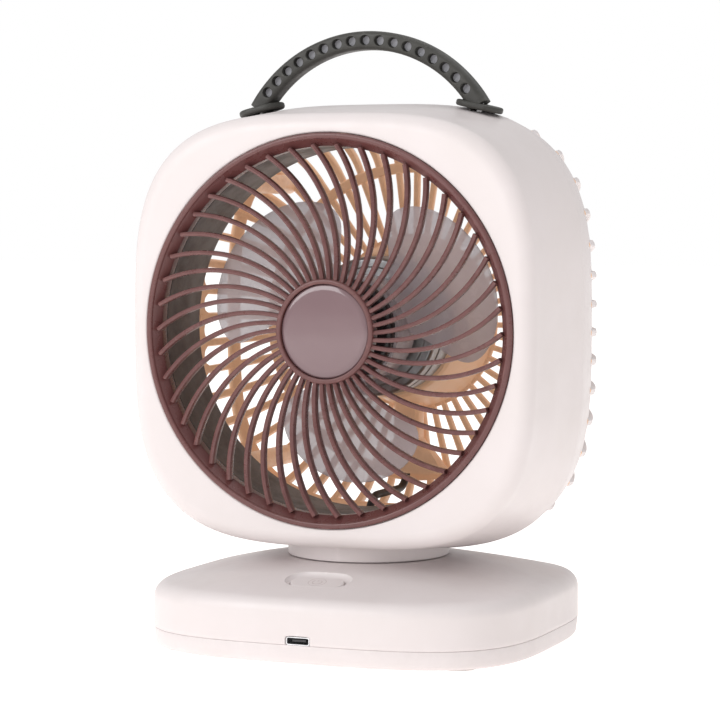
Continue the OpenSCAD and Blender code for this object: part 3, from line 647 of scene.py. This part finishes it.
# %% Rear cover screw posts
post_half, post_bore, pilot_bore = 3.6 * mm, 2.6 * mm, 1.5 * mm
post_end, screw_seat = back + 0.9 * mm, seam - 16 * mm
post = soften([(post_bore, post_end, 0.3 * mm), (post_half, post_end, 0.5 * mm),
               (post_half, seam, 0), (pilot_bore, seam, 0), (pilot_bore, screw_seat, 0),
               (post_bore, screw_seat, 0)], 2)
for degrees in (45, 135, 225, 315):
    lathe(bm, post, 32, at=out_at(degrees, 72 * mm))


def paint_bounce_tan_inside(bm):
    """Paints the inner faces tan as painted warm bounce shade, seen through the fan; the outer faces stay
    pale.
    """
    for f in bm.faces:
        c = f.calc_center_median()
        gauge = (abs(c.x) ** head_corner + abs(c.y) ** head_corner) ** (1 / head_corner)
        outer = gauge > cover_half(c.z) - 0.45 * mm or c.z < back + 0.75 * mm
        f.material_index = 0 if outer else 1


# Inner faces take slot 1, the painted warm bounce shade.
paint_bounce_tan_inside(bm)
finish_piece("cover_rear", bm, "head", ["rear_cover"], [shell, painted_bounce_tan],
             stand_up)

# %% [markdown]
# ## The front grille
# One moulding: an outer ring with a rolled lip and a sloping inner wall, forty-six ribs that
# sweep like a turbine, and a ring for the badge. The ring is turned from one outline. A rib is a
# rounded bar bent along a circular arc, made once and then spun round as copies.

# %% Grille ring and ribs
grille_ribs = 46
rib_w, rib_deep = 1.65 * mm, 3.6 * mm
arc_r = 49.7 * mm
arc_away = arc_r + 1.85 * mm
arc_turn = radians(73.7)
badge_hole_r = 16.2 * mm
badge_ring_r = 17.9 * mm
duct_r = ring_r - 4.5 * mm

bm = bmesh.new()
ring = soften([(duct_r, ring_back, 0.2 * mm), (duct_r, ring_face - 3.8 * mm, 0.8 * mm),
               (ring_r - 2.1 * mm, ring_face - 0.9 * mm, 0.5 * mm),
               (ring_r - 1.9 * mm, ring_face, 0.7 * mm), (ring_r, ring_face, 0.8 * mm),
               (ring_r, ring_back, 0.2 * mm)], 5)
lathe(bm, ring, 240)
hub_back, seat_front, seat_r = ring_face - 5 * mm, ring_face - 2.5 * mm, badge_hole_r + 0.3 * mm
lathe(bm, bar_section(badge_hole_r, badge_ring_r, hub_back, ring_face,
                      (0.3 * mm, 0.5 * mm, 0.7 * mm, 0.4 * mm)), 128)
lathe(bm, [(0, hub_back), (seat_r, hub_back), (seat_r, seat_front), (0, seat_front)], 96,
      closed=False)


def grille_rib_row(radius):
    """Angle on the rib's own arc at a distance from the air axis."""
    cosine = (radius ** 2 - arc_away ** 2 - arc_r ** 2) / (2 * arc_away * arc_r)
    return arc_turn - acos(cosine)


def grille_rib_place(row, turn):
    side, out = superellipse(turn, rib_w / 2, rib_deep / 2, 2.8)
    across = arc_r + side
    return (arc_away * cos(arc_turn) + across * cos(row),
            arc_away * sin(arc_turn) + across * sin(row),
            ring_face - 0.6 * mm - rib_deep / 2 + out)


rib_radii = spread(22, badge_ring_r - 0.5 * mm, duct_r + 0.5 * mm)
for k in range(grille_ribs):
    loft(bm, [grille_rib_row(r) for r in rib_radii], grille_rib_place, around=14,
         at=Matrix.Rotation(full_turn * k / grille_ribs, 4, "Z"))
finish_piece("grille_front", bm, "head", ["front_grille"], [grille_brown],
             stand_up)

# %% [markdown]
# ## The badge
# A plain glossy disc closes the middle of the grille. It is very slightly domed, which is what
# bends the reflections, so it is turned from an arc rather than cut flat.

# %% Badge
badge_r = badge_hole_r - 0.1 * mm
badge_low, badge_top = ring_face - 2.4 * mm, ring_face - 0.75 * mm
dome = 0.3 * mm
badge_line = [(0, badge_low), (badge_r, badge_low), (badge_r, badge_top - 0.9 * mm),
              (badge_r - 0.1 * mm, badge_top - 0.66 * mm),
              (badge_r - 0.32 * mm, badge_top - 0.45 * mm)]
badge_line += [(r, badge_top - dome * (r / badge_r) ** 2)
               for r in spread(10, badge_r - 0.6 * mm, 0)]
bm = bmesh.new()
lathe(bm, badge_line, 128, closed=False)
finish_piece("badge_disc", bm, "head", ["grille_badge"], [badge_gloss], stand_up)

# %% [markdown]
# ## The air duct
# The dark tunnel round the blades is a thin turned tube with a rolled rear lip and a flange that
# screws behind the housing's face.

# %% Air duct
duct_front, duct_back = -duct_low.y, -duct_high.y
duct_wall = 1.5 * mm
flange_back = duct_front - 1.6 * mm
bm = bmesh.new()
tunnel = soften([(duct_r, duct_front, 0), (duct_r, duct_back, 0.5 * mm),
                 (duct_r + duct_wall, duct_back, 0.5 * mm), (duct_r + duct_wall, flange_back, 0.6 * mm),
                 (ring_r, flange_back, 0.3 * mm), (ring_r, duct_front, 0.2 * mm)], 4)
lathe(bm, tunnel, 192)
ear = bar_section(1.2 * mm, 4.6 * mm, flange_back, duct_front, (0, 0.3 * mm, 0, 0), 2)
for degrees in (32, 148, 212, 328):
    lathe(bm, ear, 32, at=out_at(degrees, ring_r + 3 * mm))
finish_piece("duct_tunnel", bm, "head", ["air_duct"], [duct_grey], stand_up)

# %% [markdown]
# ## Motor, frame and impeller
# Behind the blades a grey steel can sits in a frame that flares back to the cover, with one strut that
# carries the lead down to the neck; the frame's tan is painted warm bounce shade with a painted glow. All
# but the strut are lathe work.

# %% Motor can
can_low, can_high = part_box("motor_can")
can_r = can_high.x
can_face, can_back = -can_low.y, -can_high.y
can_bore, waist_r = 3.1 * mm, can_r - 0.5 * mm
dish_floor, rim_face = can_face - 1.4 * mm, can_face - 2 * mm
bm = bmesh.new()
can = soften([(can_bore, can_face, 0.2 * mm), (6.8 * mm, can_face, 0.4 * mm),
              (7 * mm, dish_floor, 0.3 * mm), (can_r - 4 * mm, dish_floor, 0.4 * mm),
              (can_r - 3.4 * mm, rim_face, 0.3 * mm), (can_r - 0.9 * mm, rim_face, 0.8 * mm),
              (can_r, can_face - 3.2 * mm, 0.8 * mm), (can_r, can_face - 8 * mm, 0.2 * mm),
              (waist_r, can_face - 8.4 * mm, 0.2 * mm), (waist_r, can_face - 9.2 * mm, 0.2 * mm),
              (can_r, can_face - 9.6 * mm, 0.2 * mm), (can_r, can_back, 0.8 * mm),
              (can_bore, can_back, 0.2 * mm)], 3)
lathe(bm, can, 128)
finish_piece("can_motor", bm, "head", ["motor_can"], [motor_steel], stand_up)

# %% Motor frame
frame_low, frame_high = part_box("motor_frame")
frame_front, frame_back = -frame_low.y, -frame_high.y
frame_bore, frame_inside = 4 * mm, frame_front - 2.4 * mm
bm = bmesh.new()
flare = soften([(frame_bore, frame_front, 0), (can_r + 0.9 * mm, frame_front, 0.5 * mm),
                (can_r + 1.8 * mm, frame_front - 1.4 * mm, 1 * mm),
                (disc_r - 2.2 * mm, frame_back + 3.6 * mm, 2 * mm),
                (disc_r - 1 * mm, frame_back, 0.4 * mm), (disc_r - 4 * mm, frame_back, 0.2 * mm),
                (can_r - 1.4 * mm, frame_inside, 1 * mm), (frame_bore, frame_inside, 0)], 4)
lathe(bm, flare, 128)
boss = bar_section(1.3 * mm, 3.2 * mm, frame_back, frame_front - 1.5 * mm, (0, 0.3 * mm, 0, 0), 2)
for degrees in (0, 90, 180):
    lathe(bm, boss, 24, at=out_at(degrees, disc_r - 6 * mm))
strut_w, strut_d = 10 * mm, 8 * mm
strut_foot = frame_low.z - axis_height


def strut_place(row, turn):
    height, half_w = row
    side, out = superellipse(turn, half_w, strut_d / 2, 5)
    return side, height, frame_back + 0.4 * mm + strut_d / 2 + out


strut_rows = [(strut_foot + 0.05 * mm, 1.85 * strut_w), (strut_foot + 0.8 * mm, 1.86 * strut_w)]
strut_rows += [(strut_foot + 13 * mm * t, strut_w * lerp(1.88, 0.5, t ** 0.8)) for t in spread(7, 0.12, 1)]
strut_rows += [(height, strut_w / 2) for height in spread(4, strut_foot + 14 * mm, -can_r - 2 * mm)]
loft(bm, strut_rows, strut_place, around=24)
# The frame's tan finish is painted warm bounce shade with a painted glow.
finish_piece("frame_motor", bm, "head", ["motor_frame"], [painted_bounce_tan], stand_up)

# %% [markdown]
# The impeller is one hub and three wide petals. A petal is a thin loft from the hub outwards: at
# each radius the section spans an angle that opens, then closes to a round tip, and it climbs
# along the axis with the angle, which gives the twist that moves the air.

# %% Impeller hub
hub_low, hub_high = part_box("impeller_hub")
hub_r = hub_high.x
hub_front, hub_back = -hub_low.y, -hub_high.y
groove_floor, cup_floor = hub_front - 0.5 * mm, hub_front - 3.4 * mm
cup_r, sleeve_r, sleeve_end = hub_r - 1.8 * mm, 5 * mm, hub_back + 1 * mm
bm = bmesh.new()
hub_line = soften([(0, hub_front, 0), (6.5 * mm, hub_front, 0.3 * mm),
                   (6.9 * mm, groove_floor, 0.2 * mm), (8 * mm, groove_floor, 0.2 * mm),
                   (8.4 * mm, hub_front, 0.3 * mm), (hub_r, hub_front, 2.2 * mm),
                   (hub_r, hub_back, 0.5 * mm), (cup_r, hub_back, 0.5 * mm),
                   (cup_r, cup_floor, 1 * mm), (sleeve_r, cup_floor, 1 * mm),
                   (sleeve_r, sleeve_end, 0.3 * mm), (0, sleeve_end, 0)], 4, closed=False)
lathe(bm, hub_line, 96, closed=False)
finish_piece("hub_impeller", bm, "impeller", ["impeller_hub"], [hub_black], stand_up)

# %% Fan blades
blade_low, blade_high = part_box("fan_blades")
tip_r = max(blade_high.x, -blade_low.x, blade_high.z - axis_height)
blade_count = 3
blade_turn = radians(20)
blade_t = 1.3 * mm
blade_mid = (hub_front + hub_back) / 2
blade_climb = 8.6 * mm


def petal_place(share, turn):
    """Point round a blade's section, at a share of the way from the hub to the tip."""
    radius = lerp(hub_r + 0.3 * mm, tip_r, share)
    open_angle = radians(24) + radians(21) * sin(pi * min(share * 0.62, 0.5))
    open_angle *= sqrt(max(0.0, 1 - max(0.0, (share - 0.42) / 0.58) ** 2.6)) * 0.985 + 0.015
    lean = radians(9) * share
    along = cos(turn)
    thick = sin(turn) * blade_t / 2 * (1 - 0.6 * abs(along) ** 3)
    angle = lean + open_angle * along
    height = blade_mid + blade_climb * (angle / radians(45)) * lerp(0.95, 0.9, share) + thick
    return radius * cos(angle), radius * sin(angle), height


bm = bmesh.new()
for k in range(blade_count):
    loft(bm, [sin(pi / 2 * t) for t in spread(30)], petal_place, around=56,
         at=Matrix.Rotation(blade_turn + full_turn * k / blade_count, 4, "Z"))
lathe(bm, bar_section(hub_r + 0.03 * mm, hub_r + 1.2 * mm, hub_back + 0.5 * mm, hub_front - 3 * mm,
                      (0, 0.4 * mm, 0.4 * mm, 0), 2), 96)
finish_piece("blades_fan", bm, "impeller", ["fan_blades"], [smoky], stand_up)

# %% [markdown]
# ## The handle
# A stiff rubber strap arches over the head between two oval pads, with a row of round dimples
# on each face. The strap is a loft along a circle. The dimples are real hollows, taken away with
# turned cutters whose mouths flare a little, so that their rims come out rounded.

# %% Handle strap and pads
strap_low, strap_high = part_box("handle_strap")
arch_r = 52 * mm
strap_t, strap_w = 6.6 * mm, strap_high.y - strap_low.y - 3 * mm
strap_r = arch_r - strap_t / 2
arch_half = radians(57.5)
arch_y = strap_high.z - axis_height - arch_r
pad_x = strap_r * sin(arch_half)
pad_y = head_half * (1 - (pad_x / head_half) ** head_corner) ** (1 / head_corner)
pad_tilt = atan((pad_x / pad_y) ** (head_corner - 1))
pad_len, pad_w, pad_t = 17 * mm, strap_w + 3 * mm, 2.3 * mm


def strap_place(row, turn):
    out, side = superellipse(turn, strap_t / 2, strap_w / 2, 4.5)
    r = strap_r + out
    return r * sin(row), arch_y + r * cos(row), side


def pill_radius(turn, width, depth):
    """Distance from the middle of a stadium to its outline in a direction."""
    c, s = abs(cos(turn)), abs(sin(turn))
    end, r = (width - depth) / 2, depth / 2
    if s > 1e-9 and r * c / s <= end:
        return r / s
    return end * c + sqrt(max(0.0, r ** 2 - (end * s) ** 2))


def pill_place(width, depth):
    def place(row, turn):
        height, inset = row
        r = pill_radius(turn, width - 2 * inset, depth - 2 * inset)
        return r * cos(turn), r * sin(turn), height
    return place


def edge_rows(low, high, radius, steps=4):
    """Rows of height and inset of a slab with a rounded upper and lower edge."""
    turns = spread(steps + 1, 0, pi / 2)
    rows = [(low + radius * (1 - sin(a)), radius * (1 - cos(a))) for a in reversed(turns)]
    return rows + [(high - radius * (1 - sin(a)), radius * (1 - cos(a))) for a in turns]


def on_pad(side):
    """Frame of a pad: Z away from the head."""
    return (Matrix.Translation((side * pad_x, pad_y, 0)) @ Matrix.Rotation(radians(-90), 4, "X")
            @ Matrix.Rotation(side * pad_tilt, 4, "Y"))


bm = bmesh.new()
loft(bm, spread(65, -arch_half - radians(1.2), arch_half + radians(1.2)), strap_place, around=40)
for side in (-1, 1):
    loft(bm, edge_rows(0.1 * mm, pad_t, 0.8 * mm), pill_place(pad_len, pad_w), around=64,
         at=on_pad(side))
handle = finish_piece("strap_handle", bm, "head", ["handle_strap"],
                      [strap_rubber, painted_dimple_highlight], stand_up)

# %% Handle dimples
dimple_count = 17
dimple_r, dimple_deep, flare_r = 1.75 * mm, 2.2 * mm, 2.35 * mm
dimple_span = arch_half - radians(7.2)
cutter = bmesh.new()
hollow = soften([(0, -dimple_deep, 0), (dimple_r, -dimple_deep, 0.5 * mm), (dimple_r, 0, 0.35 * mm),
                 (flare_r, 0.02 * mm, 0), (flare_r, 1 * mm, 0), (0, 1 * mm, 0)], 3, closed=False)
for lean in spread(dimple_count, -dimple_span, dimple_span):
    for face_side in (-1, 1):
        turn_over = Matrix.Rotation(0 if face_side > 0 else pi, 4, "Y")
        on_strap = (strap_r * sin(lean), arch_y + strap_r * cos(lean), face_side * strap_w / 2)
        lathe(cutter, hollow, 28, closed=False, at=Matrix.Translation(on_strap) @ turn_over)
carve(handle, cutter, stand_up)
floor_depth = strap_w / 2 - dimple_deep
strap_mid_y = (strap_low.y + strap_high.y) / 2
# The dimple floors take the lighter grey of slot 1, a painted highlight in the hollows.
for polygon in handle.data.polygons:
    centre = polygon.center
    r_here = hypot(centre.x, centre.z - axis_height - arch_y)
    off_floor = abs(abs(centre.y - strap_mid_y) - floor_depth)
    deep = off_floor < 0.05 * mm and abs(polygon.normal.y) > 0.9
    polygon.material_index = 1 if deep and abs(r_here - strap_r) < dimple_r else 0
print("dimples:", 2 * dimple_count)

# %% [markdown]
# ## The base
# The base is two shells that meet on a hairline low on its side. The upper one rises straight,
# rounds over, and slopes up to the neck. It is a loft with many rows, because its soft
# highlight shows every facet.

# %% Base sizes
floor_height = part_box("base_lower_shell")[0].z
top_low, top_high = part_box("base_upper_shell")
neck_low, neck_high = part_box("neck")
button_low, button_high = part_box("power_button")
base_a, base_b = top_high.x, top_high.y
seam_height, base_top = top_low.z, top_high.z
base_corner = 3.43
side_top = 17.5 * mm
shoulder = 5.5 * mm
neck_r = 28.7 * mm
crown_r = neck_r + 0.8 * mm
button_y = (button_low.y + button_high.y) / 2
button_slope = atan((base_top - side_top - shoulder) / (base_b - shoulder - crown_r))
button_w, button_d = 19.3 * mm, 8.6 * mm
button_z = side_top + shoulder + (base_b + button_y - shoulder) * tan(button_slope)
print(f"base {2000 * base_a:.0f} x {2000 * base_b:.0f} mm, button at {1000 * button_y:.1f} mm")

# %% Base upper shell
shoulder_angle = pi / 2 - atan(1.25 * tan(button_slope))
crown_start = side_top + shoulder * sin(shoulder_angle)
crown_inset = shoulder * (1 - cos(shoulder_angle))
crown_swell = 0.25
bush_r = 23 * mm


def crown_row(t, inset=0.0, drop=0.0):
    """Row at a share of the crown's rise, which swells a little between its ends."""
    rise = (base_top - crown_start) * (t + crown_swell * t * (1 - t))
    return (crown_start + rise - drop, lerp(base_a - crown_inset, crown_r, t) - inset,
            lerp(base_b - crown_inset, crown_r, t) - inset, lerp(base_corner, 2, t))


def base_rows():
    """Rows of height, half width, half depth and corner, from the seam to the bush and back."""
    rows = [(seam_height, 0.3 * mm), (seam_height + 0.12 * mm, 0.08 * mm),
            (seam_height + 0.3 * mm, 0)]
    rows += [(z, 0) for z in spread(5, seam_height + 1.2 * mm, side_top)]
    rows += [(side_top + shoulder * sin(a), shoulder * (1 - cos(a)))
             for a in spread(10, 0.12, shoulder_angle)]
    rows = [(z, base_a - inset, base_b - inset, base_corner) for z, inset in rows]
    rows += [crown_row(t) for t in spread(40, 0.02, 1)]
    rows += [(height, r, r, 2) for height, r in
             ((base_top, crown_r - 0.5 * mm), (base_top, bush_r + 0.2 * mm),
              (base_top - 1.2 * mm, bush_r), (base_top - 2.4 * mm, bush_r))]
    rows += [crown_row(t, shell_wall, shell_wall + 0.3 * mm) for t in spread(8, 0.9, 0.02)]
    rows += [(height, base_a - shell_wall, base_b - shell_wall, base_corner)
             for height in (side_top, seam_height)]
    return rows


def base_place(row, turn):
    height, half_x, half_y, corner = row
    return (*superellipse(turn, half_x, half_y, corner), height)


bm = bmesh.new()
loft(bm, base_rows(), base_place, around=320, joined=True)
finish_top = finish_piece("base_top", bm, "base", ["base_upper_shell"], [shell])

# %% [markdown]
# The button's hollow, its slot and the mouth of the charging socket are taken out of the shell
# with cutters. The hollow's cutter is a shallow lens tipped flatter than the crown, so it bites
# deepest behind the button and fades out in front of it.

# %% Button hollow, button slot and socket mouth
button_place = Matrix.Translation((0, button_y, button_z)) @ Matrix.Rotation(button_slope, 4, "X")
dish_tip = radians(6)
dish_place = (Matrix.Translation((0, button_y + 0.9 * mm, button_z - 0.35 * mm))
              @ Matrix.Rotation(button_slope - dish_tip, 4, "X"))
cutter = bmesh.new()
dish_rows = [(0.0, 3.2 * mm), (0.05 * mm, 2.1 * mm), (0.3 * mm, 1.2 * mm), (0.8 * mm, 0.5 * mm),
             (1.5 * mm, 0.1 * mm), (2.4 * mm, -0.3 * mm), (8 * mm, -3 * mm)]
loft(cutter, dish_rows, pill_place(button_w + 5.4 * mm, button_d + 5.4 * mm), around=96)
carve(finish_top, cutter, dish_place)
cutter = bmesh.new()
loft(cutter, [(-6 * mm, 0), (6 * mm, 0)], pill_place(button_w + 0.7 * mm, button_d + 0.7 * mm),
     around=96)
carve(finish_top, cutter, button_place)
socket_low, socket_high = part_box("usb_socket")
socket_mid = Vector(((socket_low.x + socket_high.x) / 2, 0, (socket_low.z + socket_high.z) / 2))
socket_half = Vector((socket_high.x, 0, (socket_high.z - socket_low.z) / 2))


def mouth_place(row, turn):
    depth, grow = row
    side, up = superellipse(turn, socket_half.x + grow, socket_half.z + grow, 6)
    return socket_mid.x + side, depth, socket_mid.z + up


cutter = bmesh.new()
mouth_rows = [(-base_b - 1 * mm, 0.5 * mm), (-base_b + 0.25 * mm, 0.3 * mm),
              (-base_b + 0.5 * mm, 0.22 * mm), (-base_b + 7 * mm, 0.22 * mm)]
loft(cutter, mouth_rows, mouth_place, around=48)
carve(finish_top, cutter)

# %% Base lower shell
foot_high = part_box("rubber_feet")[1]
foot_r = 7 * mm
foot_x, foot_y = foot_high.x - foot_r, foot_high.y - foot_r
foot_spots = [Matrix.Translation((x, y, 0)) for x in (-foot_x, foot_x) for y in (-foot_y, foot_y)]


def tray_rows():
    """Rows from the middle of the underside, up the side and back over the inner floor."""
    middle_inset, inner_floor = 12 * mm, floor_height + 2 * mm
    rows = [(floor_height, middle_inset), (floor_height, 2.6 * mm)]
    rows += [(floor_height + 1.6 * mm * (1 - cos(a)), 1.9 * mm - 1.4 * mm * sin(a))
             for a in spread(6, 0.2, pi / 2)]
    rows += [(seam_height - 0.3 * mm, 0.02 * mm), (seam_height - 0.12 * mm, 0.1 * mm),
             (seam_height, 0.3 * mm), (seam_height, shell_wall),
             (inner_floor, shell_wall + 0.4 * mm), (inner_floor, middle_inset)]
    return [(z, base_a - inset, base_b - inset, base_corner) for z, inset in rows]


bm = bmesh.new()
loft(bm, tray_rows(), base_place, around=256)
tray = finish_piece("base_tray", bm, "base", ["base_lower_shell"], [shell])
recess_r, recess_top = foot_r + 0.1 * mm, floor_height + 0.9 * mm
hole_r, hole_top = 2.6 * mm, floor_height + 4 * mm
cutter = bmesh.new()
for spot_place in foot_spots:
    lathe(cutter, [(0, -1 * mm), (recess_r, -1 * mm), (recess_r, recess_top),
                   (hole_r, recess_top), (hole_r, hole_top), (0, hole_top)],
          48, closed=False, at=spot_place)
carve(tray, cutter)

# %% [markdown]
# The feet are soft pads that stand on a shallow outer ring. The neck is the collar that shows as
# a bright band between base and head.

# %% Feet and neck
bm = bmesh.new()
foot = soften([(0, 0.25 * mm, 0), (foot_r - 3 * mm, 0.25 * mm, 0.2 * mm),
               (foot_r - 2.6 * mm, 0, 0.2 * mm), (foot_r, 0, 0.45 * mm),
               (foot_r, foot_high.z, 0.2 * mm), (0, foot_high.z, 0)], 3, closed=False)
for spot_place in foot_spots:
    lathe(bm, foot, 48, closed=False, at=spot_place)
finish_piece("feet", bm, "base", ["rubber_feet"], [foot_rubber])

spigot_r, cable_r = 16 * mm, 9 * mm
neck_foot = base_top + 0.3 * mm
gear_seat_r, gear_seat_top = spigot_r - 2 * mm, neck_low.z + 4 * mm
brim_r, brim_low, brim_edge = neck_r + 1.9 * mm, neck_high.z - 1.6 * mm, 0.3 * mm
bm = bmesh.new()
collar = soften([(cable_r, neck_low.z, 0), (gear_seat_r, neck_low.z, 0.2 * mm),
                 (gear_seat_r, gear_seat_top, 0), (spigot_r, gear_seat_top, 0.2 * mm),
                 (spigot_r, neck_foot, 0), (neck_r, neck_foot, 0.5 * mm),
                 (neck_r, brim_low, brim_edge), (brim_r, brim_low, brim_edge),
                 (brim_r, neck_high.z, brim_edge), (cable_r, neck_high.z, brim_edge)], 3)
lathe(bm, collar, 128)
finish_piece("collar_neck", bm, "head", ["neck"], [shell])

# %% [markdown]
# ## The power button
# An oval cap with a rounded edge, a fine raised ring on it and the generic power sign: an open
# circle and a stroke. The sign is thin raised wire, lofted along an arc, because bump alone would
# vanish from the exported mesh.

# %% Power button
def wire_place(path, half_w, half_h):
    """A flat rounded wire along a path of (x, y, direction) at the button's top."""
    def place(row, turn):
        x, y, heading = path(row)
        side, up = superellipse(turn, half_w, half_h, 2.4)
        return x - side * sin(heading), y + side * cos(heading), up
    return place


def circle_path(radius):
    return lambda a: (radius * cos(a), radius * sin(a), a + pi / 2)


bm = bmesh.new()
cap_top, cap_edge = 0.1 * mm, 0.5 * mm
cap_rows = [(-3 * mm, 0)]
cap_rows += [(cap_top - cap_edge * (1 - sin(a)), cap_edge * (1 - cos(a)))
             for a in spread(6, 0, pi / 2)]
cap_rows += [(cap_top, inset) for inset in (0.7 * mm, 2 * mm, 3.4 * mm)]
loft(bm, cap_rows, pill_place(button_w, button_d), around=96)
loft(bm, [(-4.6 * mm, 0), (-3.4 * mm, 0)], pill_place(button_w + 2.4 * mm, button_d + 2.4 * mm),
     around=64)
sign_from = len(bm.faces)
fine_wire, sign_wire, sign_gap = (0.13 * mm, 0.07 * mm), (0.17 * mm, 0.09 * mm), 0.55
loft(bm, spread(49, -pi, pi), wire_place(circle_path(3.1 * mm), *fine_wire), around=8, capped=False)
loft(bm, spread(33, pi / 2 + sign_gap, pi / 2 + full_turn - sign_gap),
     wire_place(circle_path(1.65 * mm), *sign_wire), around=8)
loft(bm, [0.55 * mm, 1.0 * mm, 1.9 * mm], wire_place(lambda y: (0, y, pi / 2), *sign_wire), around=8)
bm.faces.ensure_lookup_table()
sign = bm.faces[sign_from:]
for f in sign:
    f.material_index = 1
bmesh.ops.translate(bm, vec=(0, 0, cap_top), verts=list({v for f in sign for v in f.verts}))
bmesh.ops.transform(bm, matrix=button_place, verts=bm.verts)
stem_r, stem_low, stem_top = 2.4 * mm, button_low.z, button_z - 3.4 * mm
lathe(bm, [(0, stem_low), (stem_r, stem_low), (stem_r, stem_top), (0, stem_top)], 32,
      closed=False, at=Matrix.Translation((0, button_y, 0)))
finish_piece("button_power", bm, "button", ["power_button"], [shell, mark_grey])

# %% [markdown]
# ## Finishes on the mechanical nodes
# The nodes that stay as they are need no new shape, only their real material. One table says
# which finish each of them takes.

# %% Finish the mechanical nodes
node_finishes = {
    screw_steel: ["base_screws", "board_screws", "swing_motor_screws", "gear_screws",
                  "housing_screws", "duct_screws", "frame_screws", "motor_screws",
                  "handle_screws", "gear_washer", "handle_plates"],
    socket_steel: ["usb_socket"],
    shaft_steel: ["pinion_shaft", "motor_shaft", "motor_bearings", "switch_plunger"],
    motor_steel: ["swing_motor"],
    copper: ["motor_stator"],
    magnet: ["motor_rotor"],
    acetal: ["neck_bush", "drive_pinion", "swing_gear"],
    dark_plastic: ["usb_tongue", "power_switch"],
    sleeve: ["battery_cells"],
    sheath: ["motor_lead"],
    board: ["main_board"],
}
for finish, names in node_finishes.items():
    for name in names:
        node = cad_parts[name]
        node.data.materials.clear()
        node.data.materials.append(finish)
print("finished nodes:", sum(len(names) for names in node_finishes.values()))

# %% [markdown]
# ## Floor, light and camera
# The fan stands on a white sweep under broad soft light, so its pale shell is modelled by gentle
# falls of tone. The floor glows a little, which keeps it white next to the shell.

# %% Floor
bm = bmesh.new()
bmesh.ops.create_grid(bm, x_segments=1, y_segments=1, size=6)
mesh = bpy.data.meshes.new("floor")
bm.to_mesh(mesh)
bm.free()
floor = bpy.data.objects.new("floor", mesh)
scene.collection.objects.link(floor)
floor_white, _, surface = new_material("floor_white")
set_inputs(surface, Base_Color=(0.88, 0.84, 0.81, 1), Roughness=0.9, Specular_IOR_Level=0.0,
           Emission_Color=(1, 1, 1, 1), Emission_Strength=0.6)
mesh.materials.append(floor_white)
print("floor ready")


# %% Light
def soft_box(name, place, aim, size, power):
    light = bpy.data.lights.new(name, "AREA")
    light.shape = "RECTANGLE"
    light.size, light.size_y = size
    light.energy = power
    lamp = bpy.data.objects.new(name, light)
    scene.collection.objects.link(lamp)
    lamp.location = place
    lamp.rotation_euler = (Vector(aim) - Vector(place)).to_track_quat("-Z", "Y").to_euler()


middle = (0, 0, axis_height)
soft_box("key_left", (-0.9, -1.5, 0.9), middle, (1.1, 1.1), 15.0)
soft_box("top", (0.1, 0.1, 1.5), middle, (1.4, 1.4), 4.0)
world = bpy.data.worlds.new("studio")
scene.world = world
world.use_nodes = True
sky = world.node_tree
background = set_inputs(sky.nodes["Background"], Color=(1, 1, 1, 1), Strength=0.68)
white = set_inputs(sky.nodes.new("ShaderNodeBackground"), Color=(1, 1, 1, 1))
chooser = sky.nodes.new("ShaderNodeMixShader")
path = sky.nodes.new("ShaderNodeLightPath")
sky.links.new(path.outputs["Is Camera Ray"], chooser.inputs["Fac"])
sky.links.new(background.outputs["Background"], chooser.inputs[1])
sky.links.new(white.outputs["Background"], chooser.inputs[2])
sky.links.new(chooser.outputs["Shader"], sky.nodes["World Output"].inputs["Surface"])
scene.view_settings.view_transform = "Standard"
print("lights ready")

# %% Camera
camera_data = bpy.data.cameras.new("camera")
camera = bpy.data.objects.new("camera", camera_data)
scene.collection.objects.link(camera)
azimuth, elevation = radians(22.36), radians(3.34)
aim_back = Vector((sin(azimuth) * cos(elevation), -cos(azimuth) * cos(elevation), sin(elevation)))
camera.location = (0.33831, -0.83079, 0.15134)
camera.rotation_mode = "QUATERNION"
camera.rotation_quaternion = (-aim_back).to_track_quat("-Z", "Y")
camera_data.lens = 126.8
camera_data.sensor_width = 36
camera_data.clip_start, camera_data.clip_end = 0.01, 50
scene.camera = camera
print("camera", [round(x, 3) for x in camera.location])
